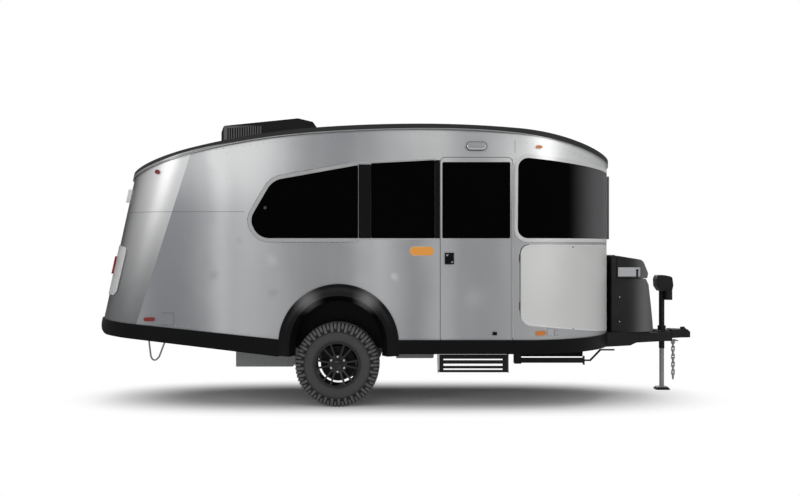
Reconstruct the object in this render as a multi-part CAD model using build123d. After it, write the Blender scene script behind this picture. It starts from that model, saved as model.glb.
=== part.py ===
"""Travel caravan: riveted aluminium shell with a wrapped nose, on a single-axle A-frame chassis.

Millimetres. +X points forward to the coupler, +Y to the left side, +Z up from the road.
The shell stands on one plan outline: its nose is upright, its tail leans forward, and the two tail
corners are cones that open towards the roof.
Every skin, glass, frame and moulding is cut from an offset of that same hull.
"""
from build123d import *
import os
from math import asin, cos, pi, sin, sqrt

os.makedirs("parts", exist_ok=True)

# ---- shell plan ----
half_width = 1050.0
wall = 42.0
nose_centre_x = 748.0
nose_radius = half_width + 250.0
front_corner_radius = half_width - 50.0
belt_z = 820.0
tail_x = -2934.0
tail_lean = 0.184
tail_corner_radius = 428.0
tail_corner_growth = 0.135
hull_low_z = 440.0
hull_high_z = 2720.0

# ---- shell side view ----
crown_x = 100.0
crown_z = 2628.0
roof_back = [(-785.0, 2598.0), (-1783.0, 2459.0), (-2369.0, 2305.0), (-2700.0, 2185.0)]
roof_front = [(990.0, 2589.0), (1451.0, 2518.0), (1870.0, 2407.0)]
roof_thickness = 40.0
roof_skin_drop = 6.0
skirt_top_z = 630.0
skirt_bottom_z = 500.0
skirt_top_rise = 0.106
skirt_rear_z = 470.0
skirt_bottom_rise = 0.122
skirt_rise_x = -1150.0
skirt_end_radius = 150.0
front_split_x = 975.0

# ---- fits and skins ----
seat = 0.3
moulding_proud = 15.0
frame_proud = 7.0
glass_proud = 3.0
glass_thickness = 8.0
guard_thickness = 8.0

# ---- wheels and axle ----
axle_x = -666.0
tyre_radius = 392.0
tyre_width = 245.0
track_half = half_width - 152.5
rim_bead_radius = 205.0
rim_lip_radius = 224.0
rim_lip_width = 9.0
rim_barrel = 9.0
hub_radius = 88.0
spoke_pairs = 6
spoke_width = 17.0
spoke_split = 11.0
cap_radius = 42.0
bead_inset = 25.5
drum_back = -112.0
drum_radius = 165.0
spindle_radius = 22.0
axle_tube = 80.0
arm_reach = 150.0
arch_radius = 400.0
flare_radius = 557.0
flare_proud = 52.0
arch_x = -649.0
arch_z = 591.0
housing_skin = 6.0
housing_inner_y = 705.0

# ---- chassis ----
rail_width = 50.0
rail_depth = 125.0
rail_y = 585.0
rail_front_x = 1500.0
rail_rear_x = -2800.0
floor_thickness = 35.0
tongue_end_x = 2745.0
tongue_rear_x = tongue_end_x - 155.0
tongue_end_y = 68.0
tongue_end_half = 27.0
coupler_length = 212.0
coupler_end_x = tongue_end_x + coupler_length
coupler_top_z = 632.0
coupler_bottom_z = 545.0
ball_radius = 25.4
jack_x = tongue_end_x - 80.0
jack_tube_radius = 28.5
jack_tube_wall = 4.0
jack_leg_gap = 0.5
jack_travel = 380.0

# ---- door, hatch, step ----
door_x0 = 292.0
door_x1 = 957.0
door_top_z = 2316.0
door_gap = 5.0
hinge_out = 8.0
hinge_radius = 8.0
band_z0 = 1570.0
hatch_half = 420.0
hatch_z0 = 1000.0
hatch_z1 = 2040.0
step_x0 = 271.0
step_x1 = 928.0
step_top_z = 550.0
step_bottom_z = 318.0
step_y = half_width - 50.0
tread_top_z = 485.0
tread_slots = [(341.0, 358.0), (379.0, 402.0), (432.0, 448.0)]
side_plate = 6.0

rail_top_z = skirt_top_z
rail_bottom_z = rail_top_z - rail_depth
tongue_foot = 14.0
axle_z = tyre_radius
flare_bottom_z = 482.0
tongue_top_z = 612.0
ball_x = coupler_end_x - 45.0
ball_top_z = coupler_bottom_z + 25.0
jack_tube_low = 430.0
jack_tube_top = 1030.0
arm_y0 = track_half - 167.5
backing_y = track_half - 127.5
outrigger_y = rail_y + 115.0
front_leg_x = 1058.0
front_leg_z = 390.0
rear_leg_x = -1750.0
rear_leg_z = 586.0
rear_leg_tilt = 8.3
outrigger_x = [front_leg_x, rear_leg_x]
crossmember_x = [rail_front_x - 25.0, 400.0, -250.0, -1070.0, -1700.0, rail_rear_x + 25.0]


def save(name, *solids):
    """Write one named sub-part."""
    shape = solids[0] if len(solids) == 1 else Compound(children=list(solids))
    export_step(shape, f"parts/{name}.step")


def box(x0, x1, y0, y1, z0, z1):
    size = Box(x1 - x0, y1 - y0, z1 - z0)
    return Pos((x0 + x1) / 2, (y0 + y1) / 2, (z0 + z1) / 2) * size


def outline(points, radius=0.0):
    """Closed outline with rounded corners; one radius, or one for each corner."""
    return make_face(FilletPolyline(*points, radius=radius, close=True))


def across(face, y0, y1):
    """Extrude a side-view outline (x, z) from y0 to y1."""
    plane = Plane(origin=(0, y1, 0), x_dir=(1, 0, 0), z_dir=(0, -1, 0))
    return extrude(plane * face, amount=y1 - y0)


def along(face, x0, x1):
    """Extrude a front-view outline (y, z) from x0 to x1."""
    plane = Plane(origin=(x0, 0, 0), x_dir=(0, 1, 0), z_dir=(1, 0, 0))
    return extrude(plane * face, amount=x1 - x0)


def upward(face, z0, z1):
    """Extrude a plan outline (x, y) from z0 to z1."""
    return extrude(Pos(0, 0, z0) * face, amount=z1 - z0)


def rod_y(x, z, radius, y0, y1):
    return Pos(x, (y0 + y1) / 2, z) * Rot(90, 0, 0) * Cylinder(radius, y1 - y0)


def rod_z(x, y, radius, z0, z1):
    return Pos(x, y, (z0 + z1) / 2) * Cylinder(radius, z1 - z0)


def mirrored(shape):
    return mirror(shape, about=Plane.XZ)


def turned(shape, x, z, angle):
    """Turn a shape about a crosswise axis through (x, z); a positive angle lifts the front."""
    return Pos(x, 0, z) * Rot(0, -angle, 0) * Pos(-x, 0, -z) * shape


# ---------------------------------------------------------------- shell surfaces
seam_lean = tail_lean + tail_corner_growth
tail_slant = sqrt(1 + tail_lean**2)
tail_normal = Vector(1, 0, -tail_lean).normalized()
seam_way = Vector(seam_lean, 0, 1)
# a tail corner is a cone that touches both the side and the tail; its apex is far below the road
apex_drop = tail_corner_radius / tail_corner_growth
corner_apex = Vector(tail_x - tail_lean * apex_drop, -half_width, belt_z - apex_drop)
corner_axis = seam_way + Vector(0, seam_way.dot(tail_normal), 0)
corner_sine = seam_way.dot(tail_normal) / corner_axis.length
corner_axis = corner_axis.normalized()
seam_way = seam_way.normalized()
tail_touch_way = (corner_axis - tail_normal * corner_sine).normalized()
far = 7000.0


def tail_face_x(z, inset=0.0):
    return tail_x + tail_lean * (z - belt_z) + inset * tail_slant


def plan(inset):
    """Plan outline of the sides and the wrapped nose, moved inwards by inset and open to the tail."""
    width = half_width - inset
    corner_r = front_corner_radius - inset
    nose_r = nose_radius - inset
    side = half_width - front_corner_radius
    blend = asin(side / (nose_radius - front_corner_radius))
    corner_x = nose_centre_x + (nose_radius - front_corner_radius) * cos(blend)
    bend = (pi / 2 + blend) / 2
    back = tail_x - half_width
    edges = []
    for hand in (-1, 1):
        nose_end = (nose_centre_x + nose_r * cos(blend), hand * nose_r * sin(blend))
        corner_mid = (corner_x + corner_r * cos(bend), hand * (side + corner_r * sin(bend)))
        edges.append(Line((back, hand * width), (corner_x, hand * width)))
        edges.append(ThreePointArc((corner_x, hand * width), corner_mid, nose_end))
    half = nose_r * sin(blend)
    nose_x = nose_centre_x + nose_r * cos(blend)
    edges.append(ThreePointArc((nose_x, -half), (nose_centre_x + nose_r, 0), (nose_x, half)))
    edges.append(Line((back, -width), (back, width)))
    return make_face(Curve() + edges)


def corner_sector(apex):
    """Solid sector of the right tail-corner cone, from the side's seam round to the tail."""
    rim = seam_way * far
    middle = corner_axis * (far * sqrt(1 - corner_sine**2))
    blank = make_face(Polyline(apex, apex + rim, apex + middle, close=True))
    turn = (rim - middle).get_angle(tail_touch_way * far - middle)
    sector = revolve(blank, axis=Axis(apex, corner_axis), revolution_arc=-turn)
    return sector & box(tail_x - far, 0, -far, 0, hull_low_z, hull_high_z)


def corner_notch(apex):
    """Room for the sector: outside the planes from the cone's axis to its two touching lines."""
    half_space = Box(2 * far, 2 * far, far, align=(Align.CENTER, Align.CENTER, Align.MIN))
    behind = Plane(origin=apex, x_dir=corner_axis, z_dir=seam_way.cross(corner_axis))
    beside = Plane(origin=apex, x_dir=corner_axis, z_dir=corner_axis.cross(tail_touch_way))
    return (behind * half_space) & (beside * half_space)


hulls = {}


def hull(inset):
    """Solid shell shape, moved inwards by inset (outwards where it is negative)."""
    if inset not in hulls:
        ends = [hull_low_z - 10, hull_high_z + 10]
        tail = [(tail_face_x(z, inset), z) for z in ends]
        keep = outline([*tail, (far, ends[1]), (far, ends[0])])
        body = upward(plan(inset), hull_low_z, hull_high_z) & across(keep, -2 * half_width, 2 * half_width)
        apex = corner_apex + corner_axis * (inset / corner_sine)
        notch = corner_notch(apex)
        sector = corner_sector(apex)
        hulls[inset] = body - notch - mirrored(notch) + sector + mirrored(sector)
    return hulls[inset]


def skin(outer, inner):
    return hull(outer) - hull(inner)


def roof_region(drop):
    """Everything below the roof line, lowered by drop."""
    back = []
    start = (crown_x, crown_z)
    way = (-1, 0)
    for point in roof_back:
        arc = TangentArc(start, point, tangent=way)
        back.append(arc)
        start = point
        way = arc % 1
    tail = (start[0] - 400, start[1] - 400 * abs(way.Y / way.X))
    front = []
    start = (crown_x, crown_z)
    way = (1, 0)
    for point in roof_front:
        arc = TangentArc(start, point, tangent=way)
        front.append(arc)
        start = point
        way = arc % 1
    nose = (start[0] + 400, start[1] - 400 * abs(way.Y / way.X))
    low = hull_low_z - 100
    rest = Polyline(roof_back[-1], tail, (tail[0], low), (nose[0], low), nose, roof_front[-1])
    face = make_face(Curve() + back + front + rest.edges())
    return across(Pos(0, -drop, 0) * face, -half_width - 200, half_width + 200)


def slope_line(x, top):
    """Height of the skirt's top or bottom edge at x; behind the axle it climbs to the tail."""
    base, rear, rise = (skirt_top_z, skirt_top_z, skirt_top_rise) if top else (skirt_bottom_z, skirt_rear_z, skirt_bottom_rise)
    if x > skirt_rise_x:
        return base
    return rear + rise * (skirt_rise_x - x)


def above_line(lift, top=False):
    """Everything above the skirt's top or bottom edge, raised by lift."""
    back_x = -3300.0
    front_x = 2400.0
    points = [
        (back_x, slope_line(back_x, top) + lift),
        (skirt_rise_x, slope_line(skirt_rise_x, top) + lift),
        (arch_x, slope_line(arch_x, top) + lift),
        (front_x, slope_line(front_x, top) + lift),
        (front_x, hull_high_z + 50),
        (back_x, hull_high_z + 50),
    ]
    return across(outline(points), -half_width - 200, half_width + 200)


def tail_split(gap):
    """Everything behind the leaning seam where the tail corner meets the side."""
    seam_x = tail_x + tail_corner_radius + gap
    low = hull_low_z - 100
    high = hull_high_z + 50
    points = [
        (-3400, low),
        (seam_x + seam_lean * (low - belt_z), low),
        (seam_x + seam_lean * (high - belt_z), high),
        (-3400, high),
    ]
    return across(outline(points), -half_width - 200, half_width + 200)


# ---------------------------------------------------------------- outlines on the sides
pane_gap = 0.3
pillar = 118.0
pillar_lap = 3.0
frame_width = 34.0
middle_x0 = -350.0
middle_x1 = door_x0 - 52.0
rear_pane = [
    (-1390.0, band_z0), (middle_x0 - pillar, band_z0), (middle_x0 - pillar, 2246.0),
    (-1262.0, 2104.0), (-1472.0, 1742.0),
]
rear_pane_radii = [160.0, 12.0, 12.0, 190.0, 140.0]
middle_pane = [(middle_x0, band_z0), (middle_x1, band_z0), (middle_x1, 2293.0), (middle_x0, 2262.0)]
door_pane = [
    (door_x0 + 17, band_z0), (door_x1 - 20, band_z0), (door_x1 - 20, door_top_z - 42), (door_x0 + 17, door_top_z - 42),
]
corner_pane = [(1004.0, band_z0), (1985.0, band_z0), (1985.0, 2228.0), (1010.0, 2322.0)]
corner_pane_radii = [95.0, 12.0, 12.0, 95.0]
guard = [(1031.0, 1511.0), (1985.0, 1511.0), (1985.0, 655.0), (1560.0, 712.0), (1031.0, 768.0)]
guard_radii = [95.0, 20.0, 20.0, 600.0, 110.0]
pillar_x0 = middle_x0 - pillar + pillar_lap
pane_faces = {
    "rear": outline(rear_pane, rear_pane_radii),
    "middle": outline(middle_pane, 12.0),
    "corner": outline(corner_pane, corner_pane_radii),
}


def grown(face, amount):
    return offset(face, amount=amount)


def side_cut(face, hand, depth=400.0):
    """Side-view outline as a cutting prism through one side of the shell."""
    if hand < 0:
        return across(face, -half_width - 100, -half_width + depth)
    return across(face, half_width - depth, half_width + 100)


# ---------------------------------------------------------------- shell panels
housing_radius = arch_radius + 45
wall_arch_radius = housing_radius + seat


def arch_prism(radius, y0, y1, low=hull_low_z - 90):
    """Wheel-arch shape: a half round on straight legs."""
    top = rod_y(arch_x, arch_z, radius, y0, y1) & box(arch_x - radius, arch_x + radius, y0, y1, arch_z, arch_z + radius)
    legs = box(arch_x - radius, arch_x + radius, y0, y1, low, arch_z)
    return top + legs


wall_shape = skin(0, wall) & roof_region(roof_skin_drop + roof_thickness + seat)
wall_shape = wall_shape & above_line(20.0)
arch_cut = arch_prism(wall_arch_radius, -half_width - 100, half_width + 100)
front_half = box(front_split_x, 2400, -half_width - 100, half_width + 100, 0, 3000)

door_leaf_face = outline(
    [(door_x0, skirt_top_z), (door_x1, skirt_top_z), (door_x1, door_top_z), (door_x0, door_top_z)],
    [12.0, 12.0, 45.0, 45.0],
)
doorway = side_cut(grown(door_leaf_face, door_gap), -1, 150)

side_slab = box(tail_x, front_split_x - seat, -half_width, -half_width + wall, 0, 3000)
side_slab = side_slab & roof_region(roof_skin_drop + roof_thickness + seat) & above_line(20.0)
side_slab = side_slab - tail_split(seat) - arch_cut
long_pane = outline(door_pane, 12.0)
plain_side = side_slab
for key in ("rear", "middle"):
    plain_side = plain_side - side_cut(grown(pane_faces[key], pane_gap), -1, 150)
save("side_wall_right", plain_side - doorway)
save("side_wall_left", mirrored(plain_side - side_cut(grown(long_pane, pane_gap), -1, 150)))

rail_inner = rail_y - rail_width / 2
rail_outer = rail_y + rail_width / 2
tongue = outline(
    [
        (rail_front_x, rail_inner), (rail_front_x, rail_outer),
        (tongue_end_x, tongue_end_y + tongue_end_half), (tongue_end_x, tongue_end_y - tongue_end_half),
    ]
)
tongue_notch = upward(grown(tongue, 4.0), hull_low_z - 50, rail_top_z + 4)
tongue_notch = tongue_notch + mirrored(tongue_notch)
nose_pane_half = 330.0
nose_pane_face = outline(
    [(-nose_pane_half, band_z0), (nose_pane_half, band_z0), (nose_pane_half, 2205.0), (-nose_pane_half, 2205.0)], 25.0
)
nose_cut = along(grown(nose_pane_face, pane_gap), nose_centre_x + 800, 2300)
front_wall = (wall_shape & front_half) - nose_cut
for hand in (-1, 1):
    front_wall = front_wall - side_cut(grown(pane_faces["corner"], pane_gap), hand, half_width - nose_pane_half - 60)
front_wall = front_wall - tongue_notch
save("front_wall", front_wall)

hatch_face = outline(
    [(-hatch_half, hatch_z0), (hatch_half, hatch_z0), (hatch_half, hatch_z1), (-hatch_half, hatch_z1)], 60.0
)
hatch_hole = along(grown(hatch_face, door_gap), -3200, -2300)
rear_wall = (wall_shape & tail_split(0)) - hatch_hole
save("rear_wall", rear_wall)

roof_panel = (hull(0) & roof_region(roof_skin_drop)) - roof_region(roof_skin_drop + roof_thickness)
save("roof_panel", roof_panel)

edge_height = 55.0
roof_moulding = (skin(-moulding_proud, -seat) & roof_region(0)) - roof_region(edge_height)
save("roof_edge_moulding", roof_moulding)

# ---------------------------------------------------------------- skirt, flares, wheel housings
flare_edge = 14.0
skirt = skin(-moulding_proud, -seat) & above_line(0.0) - above_line(0.0, top=True)
skirt = skirt - arch_prism(flare_radius + seat, -half_width - 100, half_width + 100) - tongue_notch
skirt_end = outline(
    [
        (tail_face_x(690, 0) - 4, slope_line(tail_face_x(690, 0) - 4, False) - 1),
        (skirt_rise_x, slope_line(skirt_rise_x, False) - 1), (skirt_rise_x, 400), (2400, 400), (2400, 900),
        (tail_face_x(900, 0) - 4, 900),
    ],
    [skirt_end_radius, 0, 0, 0, 0, 0],
)
skirt = skirt & across(skirt_end, -half_width - 200, half_width + 200)
save("lower_moulding", skirt)


def flare(hand):
    """Moulded arch flare: a flat flange, a rounded bulge and a return lip, swept round the opening."""
    y0 = half_width + seat
    section = make_face(
        Polyline(
            (flare_radius, y0), (flare_radius, y0 + flare_edge), (flare_radius - 32, y0 + flare_edge),
            (arch_radius + 88, y0 + flare_proud - 10), (arch_radius + 50, y0 + flare_proud), (arch_radius, y0 - 30),
            (arch_radius + 12, y0 - 30), (arch_radius + 25, y0), close=True,
        )
    )
    plane = Plane(origin=(arch_x, 0, arch_z), x_dir=(1, 0, 0), z_dir=(0, 0, 1))
    profile = plane * section
    front_leg = extrude(profile, amount=arch_z - flare_bottom_z, dir=(0, 0, -1))
    round_part = revolve(profile, axis=Axis((arch_x, 0, arch_z), (0, -1, 0)), revolution_arc=180)
    rear_leg = mirror(front_leg, about=Plane(origin=(arch_x, 0, 0), z_dir=(1, 0, 0)))
    whole = round_part + front_leg + rear_leg
    return whole if hand > 0 else mirrored(whole)


save("wheel_flares", flare(-1), flare(1))

housing = arch_prism(housing_radius, housing_inner_y, half_width, skirt_bottom_z + 20)
housing = housing - arch_prism(housing_radius - housing_skin, housing_inner_y + housing_skin, half_width + 50)
save("wheel_housings", housing, mirrored(housing))

# ---------------------------------------------------------------- floor and chassis
floor_panel = (hull(wall + seat) & above_line(0.0, top=True)) - above_line(floor_thickness, top=True)
for side in (-1, 1):
    inner = housing_inner_y - seat
    y0, y1 = (inner, half_width + 100) if side > 0 else (-half_width - 100, -inner)
    floor_panel = floor_panel - arch_prism(wall_arch_radius, y0, y1)
save("floor_panel", floor_panel)


def rail_top(x):
    return slope_line(x, True)


rail_side = outline(
    [
        (rail_rear_x, rail_top(rail_rear_x)), (skirt_rise_x, rail_top_z), (rail_front_x, rail_top_z),
        (rail_front_x, rail_bottom_z), (skirt_rise_x, rail_bottom_z), (rail_rear_x, rail_top(rail_rear_x) - rail_depth),
    ]
)
chassis = across(rail_side, rail_inner, rail_outer)
tongue_side = outline(
    [
        (rail_front_x, rail_bottom_z), (1935, rail_bottom_z), (1950, rail_bottom_z - tongue_foot),
        (2255, rail_bottom_z - tongue_foot), (2290, rail_bottom_z), (2325, rail_bottom_z + 12),
        (tongue_end_x, rail_bottom_z + 12),
        (tongue_end_x, tongue_top_z), (2480, tongue_top_z), (2290, rail_top_z), (rail_front_x, rail_top_z),
    ]
)
chassis = chassis + (upward(tongue, rail_bottom_z - tongue_foot, rail_top_z) & across(tongue_side, 0, rail_outer + 10))
for x in outrigger_x:
    top = rail_top(x)
    chassis = chassis + box(x - 25, x + 25, rail_outer, outrigger_y, top - 60, top)
chassis = chassis + mirrored(chassis)
for x in crossmember_x:
    top = rail_top(x)
    chassis = chassis + box(x - 25, x + 25, -rail_inner, rail_inner, top - 95, top)
chassis = chassis - above_line(0.0, top=True)
save("chassis_frame", chassis)

# coupler: pressed channel with a ball socket under its nose
neck_x = tongue_end_x + 115.0
nose_side_x = coupler_end_x - 39.0
coupler_plan = outline(
    [
        (tongue_end_x + seat, -98), (neck_x, -46), (nose_side_x, -40), (coupler_end_x, -24),
        (coupler_end_x, 24), (nose_side_x, 40), (neck_x, 46), (tongue_end_x + seat, 98),
    ]
)
coupler = upward(coupler_plan, coupler_bottom_z, coupler_top_z)
coupler_side = outline(
    [
        (tongue_end_x, coupler_bottom_z), (coupler_end_x, coupler_bottom_z), (coupler_end_x, coupler_top_z - 28),
        (coupler_end_x - 34, coupler_top_z), (tongue_end_x, coupler_top_z),
    ],
    [0.0, 6.0, 10.0, 12.0, 0.0],
)
coupler = coupler & across(coupler_side, -110, 110)
coupler_hollow = outline(
    [
        (tongue_end_x - 5, -90), (neck_x - 2, -40), (neck_x + 12, -30),
        (neck_x + 12, 30), (neck_x - 2, 40), (tongue_end_x - 5, 90),
    ]
)
coupler = coupler - upward(coupler_hollow, coupler_bottom_z - 5, coupler_top_z - 8)
socket_radius = ball_radius + 0.6
coupler = coupler - rod_z(ball_x, 0, socket_radius, coupler_bottom_z - 5, ball_top_z)
coupler = coupler - Pos(ball_x, 0, ball_top_z + 9) * Cone(socket_radius, socket_radius - 14, 18)
save("coupler", coupler)
coupler_latch = across(
    outline(
        [
            (neck_x + 2, coupler_top_z + seat), (nose_side_x, coupler_top_z + seat),
            (nose_side_x - 20, coupler_top_z + 24), (neck_x + 2, coupler_top_z + 20),
        ]
    ),
    -14,
    14,
)
save("coupler_latch", coupler_latch)

# tongue jack: fixed tube, electric head, sliding leg with a foot
jack_inner_radius = jack_tube_radius - jack_tube_wall
flange_top = tongue_top_z + 10
jack_plate = outline(
    [(tongue_rear_x, -125), (tongue_end_x - 8, -62), (tongue_end_x - 8, 62), (tongue_rear_x, 125)], 6.0
)
jack_tube = rod_z(jack_x, 0, jack_tube_radius, jack_tube_low, jack_tube_top)
jack_tube = jack_tube + upward(jack_plate, tongue_top_z, flange_top) + rod_z(jack_x, 0, 42, flange_top, flange_top + 45)
jack_tube = jack_tube - rod_z(jack_x, 0, jack_inner_radius, jack_tube_low - 5, jack_tube_top + 5)
save("jack_outer_tube", jack_tube)
head_side = outline(
    [
        (jack_x - 70, 1080), (jack_x - 36, jack_tube_top + seat), (jack_x + 90, jack_tube_top + seat),
        (jack_x + 104, 1092), (jack_x + 92, 1180), (jack_x + 18, 1196), (jack_x - 58, 1196), (jack_x - 74, 1156),
    ],
    [14.0, 10.0, 14.0, 30.0, 30.0, 20.0, 14.0, 20.0],
)
jack_head = across(head_side, -62, 62)
jack_head = jack_head + rod_z(jack_x + 51, -54, 42, 940, jack_tube_top + seat + 5)
save("jack_motor_head", jack_head)
leg_radius = jack_inner_radius - jack_leg_gap
jack_leg = rod_z(jack_x, 0, leg_radius, 20, jack_tube_top - jack_travel - 20)
foot = Pos(jack_x, 0, 0) * extrude(RectangleRounded(150, 120, 22), amount=8)
foot = foot + Pos(jack_x, 0, 8) * extrude(RectangleRounded(150, 120, 22), amount=22, taper=45)
save("jack_leg", jack_leg + foot)

# ---------------------------------------------------------------- axle, wheels
tube_z = rail_bottom_z - axle_tube / 2
tube_x = axle_x + arm_reach
axle = box(tube_x - axle_tube / 2, tube_x + axle_tube / 2, -arm_y0, arm_y0, tube_z - axle_tube / 2, rail_bottom_z)
arm_side = outline(
    [
        (axle_x - 44, axle_z - 44), (axle_x + 20, axle_z - 48), (tube_x + 52, tube_z - 52),
        (tube_x + 52, rail_bottom_z), (tube_x - 40, rail_bottom_z), (axle_x - 44, axle_z + 44),
    ]
)
arm = across(arm_side, arm_y0, backing_y)
arm = arm + rod_y(axle_x, axle_z, drum_radius - 8, backing_y, backing_y + 5)
arm = arm + rod_y(axle_x, axle_z, spindle_radius, backing_y, track_half - 4)
axle = axle + arm + mirrored(arm)
save("axle_beam", axle)


def wheel_face(y, profile, hand):
    """Turn a profile of (radius, offset towards the outside) round the axle line."""
    points = [(radius, hand * (y + out)) for radius, out in profile]
    plane = Plane(origin=(axle_x, 0, axle_z), x_dir=(1, 0, 0), z_dir=(0, 0, 1))
    face = plane * make_face(Polyline(*points, close=True))
    return revolve(face, axis=Axis((axle_x, 0, axle_z), (0, 1, 0)))


def tyre(hand):
    edge = tyre_width / 2
    half = [
        (rim_bead_radius, edge - bead_inset), (296, edge), (356, edge), (tyre_radius, edge - 46),
    ]
    profile = half + [(radius, -out) for radius, out in reversed(half)]
    return wheel_face(track_half, profile, hand)


def rim(hand):
    """Barrel with flared lips, a hub disc and pairs of straight spokes that rise to the outer lip."""
    bead = tyre_width / 2 - bead_inset + seat
    lip = bead + rim_lip_width
    outer = rim_bead_radius - seat
    inner = outer - rim_barrel
    barrel = [(inner, -lip), (rim_lip_radius, -lip), (outer, -bead), (outer, bead), (rim_lip_radius, lip), (inner, lip)]
    shape = wheel_face(track_half, barrel, hand)
    disc = [(0, 0), (hub_radius, 0), (hub_radius, 42), (cap_radius, 42), (cap_radius, 62), (0, 62)]
    shape = shape + wheel_face(track_half, disc, hand)
    root = hub_radius - 20
    spoke_side = [(root, 8), (root, 42), (inner - 25, 70), (inner + 3, 78), (inner + 3, 40), (inner - 30, 34)]
    spoke_plane = Plane(origin=(0, 0, 0), x_dir=(1, 0, 0), z_dir=(0, 0, 1))
    blank = make_face(Polyline(*[(r, hand * (track_half + out)) for r, out in spoke_side], close=True))
    spoke = extrude(spoke_plane * blank, amount=spoke_width / 2, both=True)
    for pair in range(spoke_pairs):
        for split in (-spoke_split, spoke_split):
            angle = 360 / spoke_pairs * (pair + 0.5) + split + 90
            shape = shape + Pos(axle_x, 0, axle_z) * Rot(0, -angle, 0) * spoke
    return shape


def drum(hand):
    profile = [
        (spindle_radius + 1, drum_back), (drum_radius, drum_back), (drum_radius, -24), (hub_radius, -24), (hub_radius, -seat),
        (spindle_radius + 1, -seat),
    ]
    return wheel_face(track_half, profile, hand)


for hand, name in ((-1, "right"), (1, "left")):
    save(f"tyre_{name}", tyre(hand))
    save(f"rim_{name}", rim(hand))
    save(f"drum_{name}", drum(hand))

# underfloor tanks in their sheet pans, hung between the rails
tank_outline = outline(
    [(-1684, 321), (-1130, 321), (-1105, 345), (-1105, rail_bottom_z - seat), (-1684, rail_bottom_z - seat)], [6.0, 10.0, 10.0, 0.0, 0.0]
)
front_tank_outline = outline([(-120, 404), (245, 404), (255, rail_bottom_z - seat), (-130, rail_bottom_z - seat)], 8.0)
nose_tank_outline = outline([(1092, 421), (1700, 421), (1708, rail_bottom_z - seat), (1085, rail_bottom_z - seat)], 6.0)
save(
    "underfloor_tanks",
    across(tank_outline, -rail_outer, rail_outer),
    across(front_tank_outline, -rail_outer, rail_outer),
    across(nose_tank_outline, -rail_outer, rail_outer),
)

# ---------------------------------------------------------------- glass and frames
glass_in = glass_thickness - glass_proud


def side_pane(face, hand):
    y0, y1 = sorted((hand * (half_width - glass_in), hand * (half_width + glass_proud)))
    return across(face, y0, y1)


corner_skin = skin(-glass_proud, glass_in)
corner_right = corner_skin & side_cut(pane_faces["corner"], -1, half_width - nose_pane_half - 60)
frame_skin = skin(-frame_proud, -seat)
side_glass = [side_pane(pane_faces["rear"], -1), side_pane(pane_faces["middle"], -1)]
save("side_glass_right", *side_glass)
save("side_glass_left", *[mirrored(pane) for pane in side_glass], side_pane(long_pane, 1))
frames = []
for key in ("rear", "corner"):
    ring = grown(pane_faces[key], frame_width) - grown(pane_faces[key], seat)
    depth = 150 if key == "rear" else half_width - nose_pane_half - 60
    frames.append(frame_skin & side_cut(ring, -1, depth))
frames[0] = frames[0] - box(pillar_x0 - seat, 0, -1200, 1200, 1400, 2500)
save("window_frames", *frames, *[mirrored(frame) for frame in frames])
pillars = [
    box(pillar_x0, middle_x0 - 1, -half_width - 5, -half_width - seat, band_z0, 2252),
    box(middle_x1 + 1, door_x0 - door_gap - 1, -half_width - 5, -half_width - seat, band_z0, 2292),
]
save("window_pillars", *pillars, *[mirrored(strip) for strip in pillars])
save("corner_glass", corner_right, mirrored(corner_right))
nose_glass = skin(-25, glass_in) & along(nose_pane_face, nose_centre_x + 800, 2300)
save("nose_glass", nose_glass)
guard_right = skin(-guard_thickness - seat, -seat) & side_cut(outline(guard, guard_radii), -1, half_width - nose_pane_half - 60)
save("stone_guards", guard_right, mirrored(guard_right))

# ---------------------------------------------------------------- entry door
door_leaf = across(door_leaf_face, -half_width, -half_width + wall) - side_cut(grown(long_pane, pane_gap), -1, 150)
save("door_leaf", door_leaf)
save("door_hinge", rod_z(door_x1 + door_gap / 2, -half_width - hinge_out, hinge_radius, skirt_top_z + 20, door_top_z - 50))
save("door_glass", side_pane(long_pane, -1))
handle = across(outline([(332, 1330), (416, 1330), (416, 1436), (332, 1436)]), -half_width - 14, -half_width - seat)
save("door_handle", handle)

# ---------------------------------------------------------------- tail hatch
hatch_leaf = skin(0, wall) & along(hatch_face, -3200, -2300)
hatch_pane = outline([(-350, 1480), (350, 1480), (350, 1960), (-350, 1960)], 40.0)
hatch_leaf = hatch_leaf - along(grown(hatch_pane, pane_gap), -3200, -2300)
save("hatch_leaf", hatch_leaf)
save("hatch_glass", skin(-glass_proud, glass_in) & along(hatch_pane, -3200, -2300))
hatch_hinge_x = tail_face_x(hatch_z1 + door_gap) - hinge_out
save("hatch_hinge", rod_y(hatch_hinge_x, hatch_z1 + 3.2, hinge_radius - 0.6, -hatch_half + 60, hatch_half - 60))
hatch_handle = skin(-22, -seat) & along(outline([(-70, 1060), (70, 1060), (70, 1120), (-70, 1120)]), -3200, -2300)
save("hatch_handle", hatch_handle)

# ---------------------------------------------------------------- entry step
plate_outline = outline(
    [(-step_y, step_top_z), (-step_y + 110, step_top_z), (-step_y + 110, 420), (-step_y + 60, step_bottom_z), (-step_y, step_bottom_z)]
)
step_frame = along(plate_outline, step_x0, step_x0 + side_plate)
step_frame = step_frame + along(plate_outline, step_x1 - side_plate, step_x1)
step_frame = step_frame + box(step_x0, step_x1, -step_y + 70, -step_y + 110, step_top_z - 40, step_top_z)
step_frame = step_frame + box(step_x0 + 60, step_x0 + 110, -step_y + 110, -rail_outer, step_top_z - 40, step_top_z)
step_frame = step_frame + box(step_x1 - 110, step_x1 - 60, -step_y + 110, -rail_outer, step_top_z - 40, step_top_z)
tread_in = side_plate + 6
pin_y = -step_y + 15
pin_z = step_bottom_z + 18
pin = Pos(step_x0 + tread_in, pin_y, pin_z) * Rot(0, 90, 0) * Cylinder(5, 30)
step_frame = step_frame + pin + Pos(step_x1 - step_x0 - 2 * tread_in, 0, 0) * pin
save("step_frame", step_frame)
tread_x0 = step_x0 + tread_in
tread_x1 = step_x1 - tread_in
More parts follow.
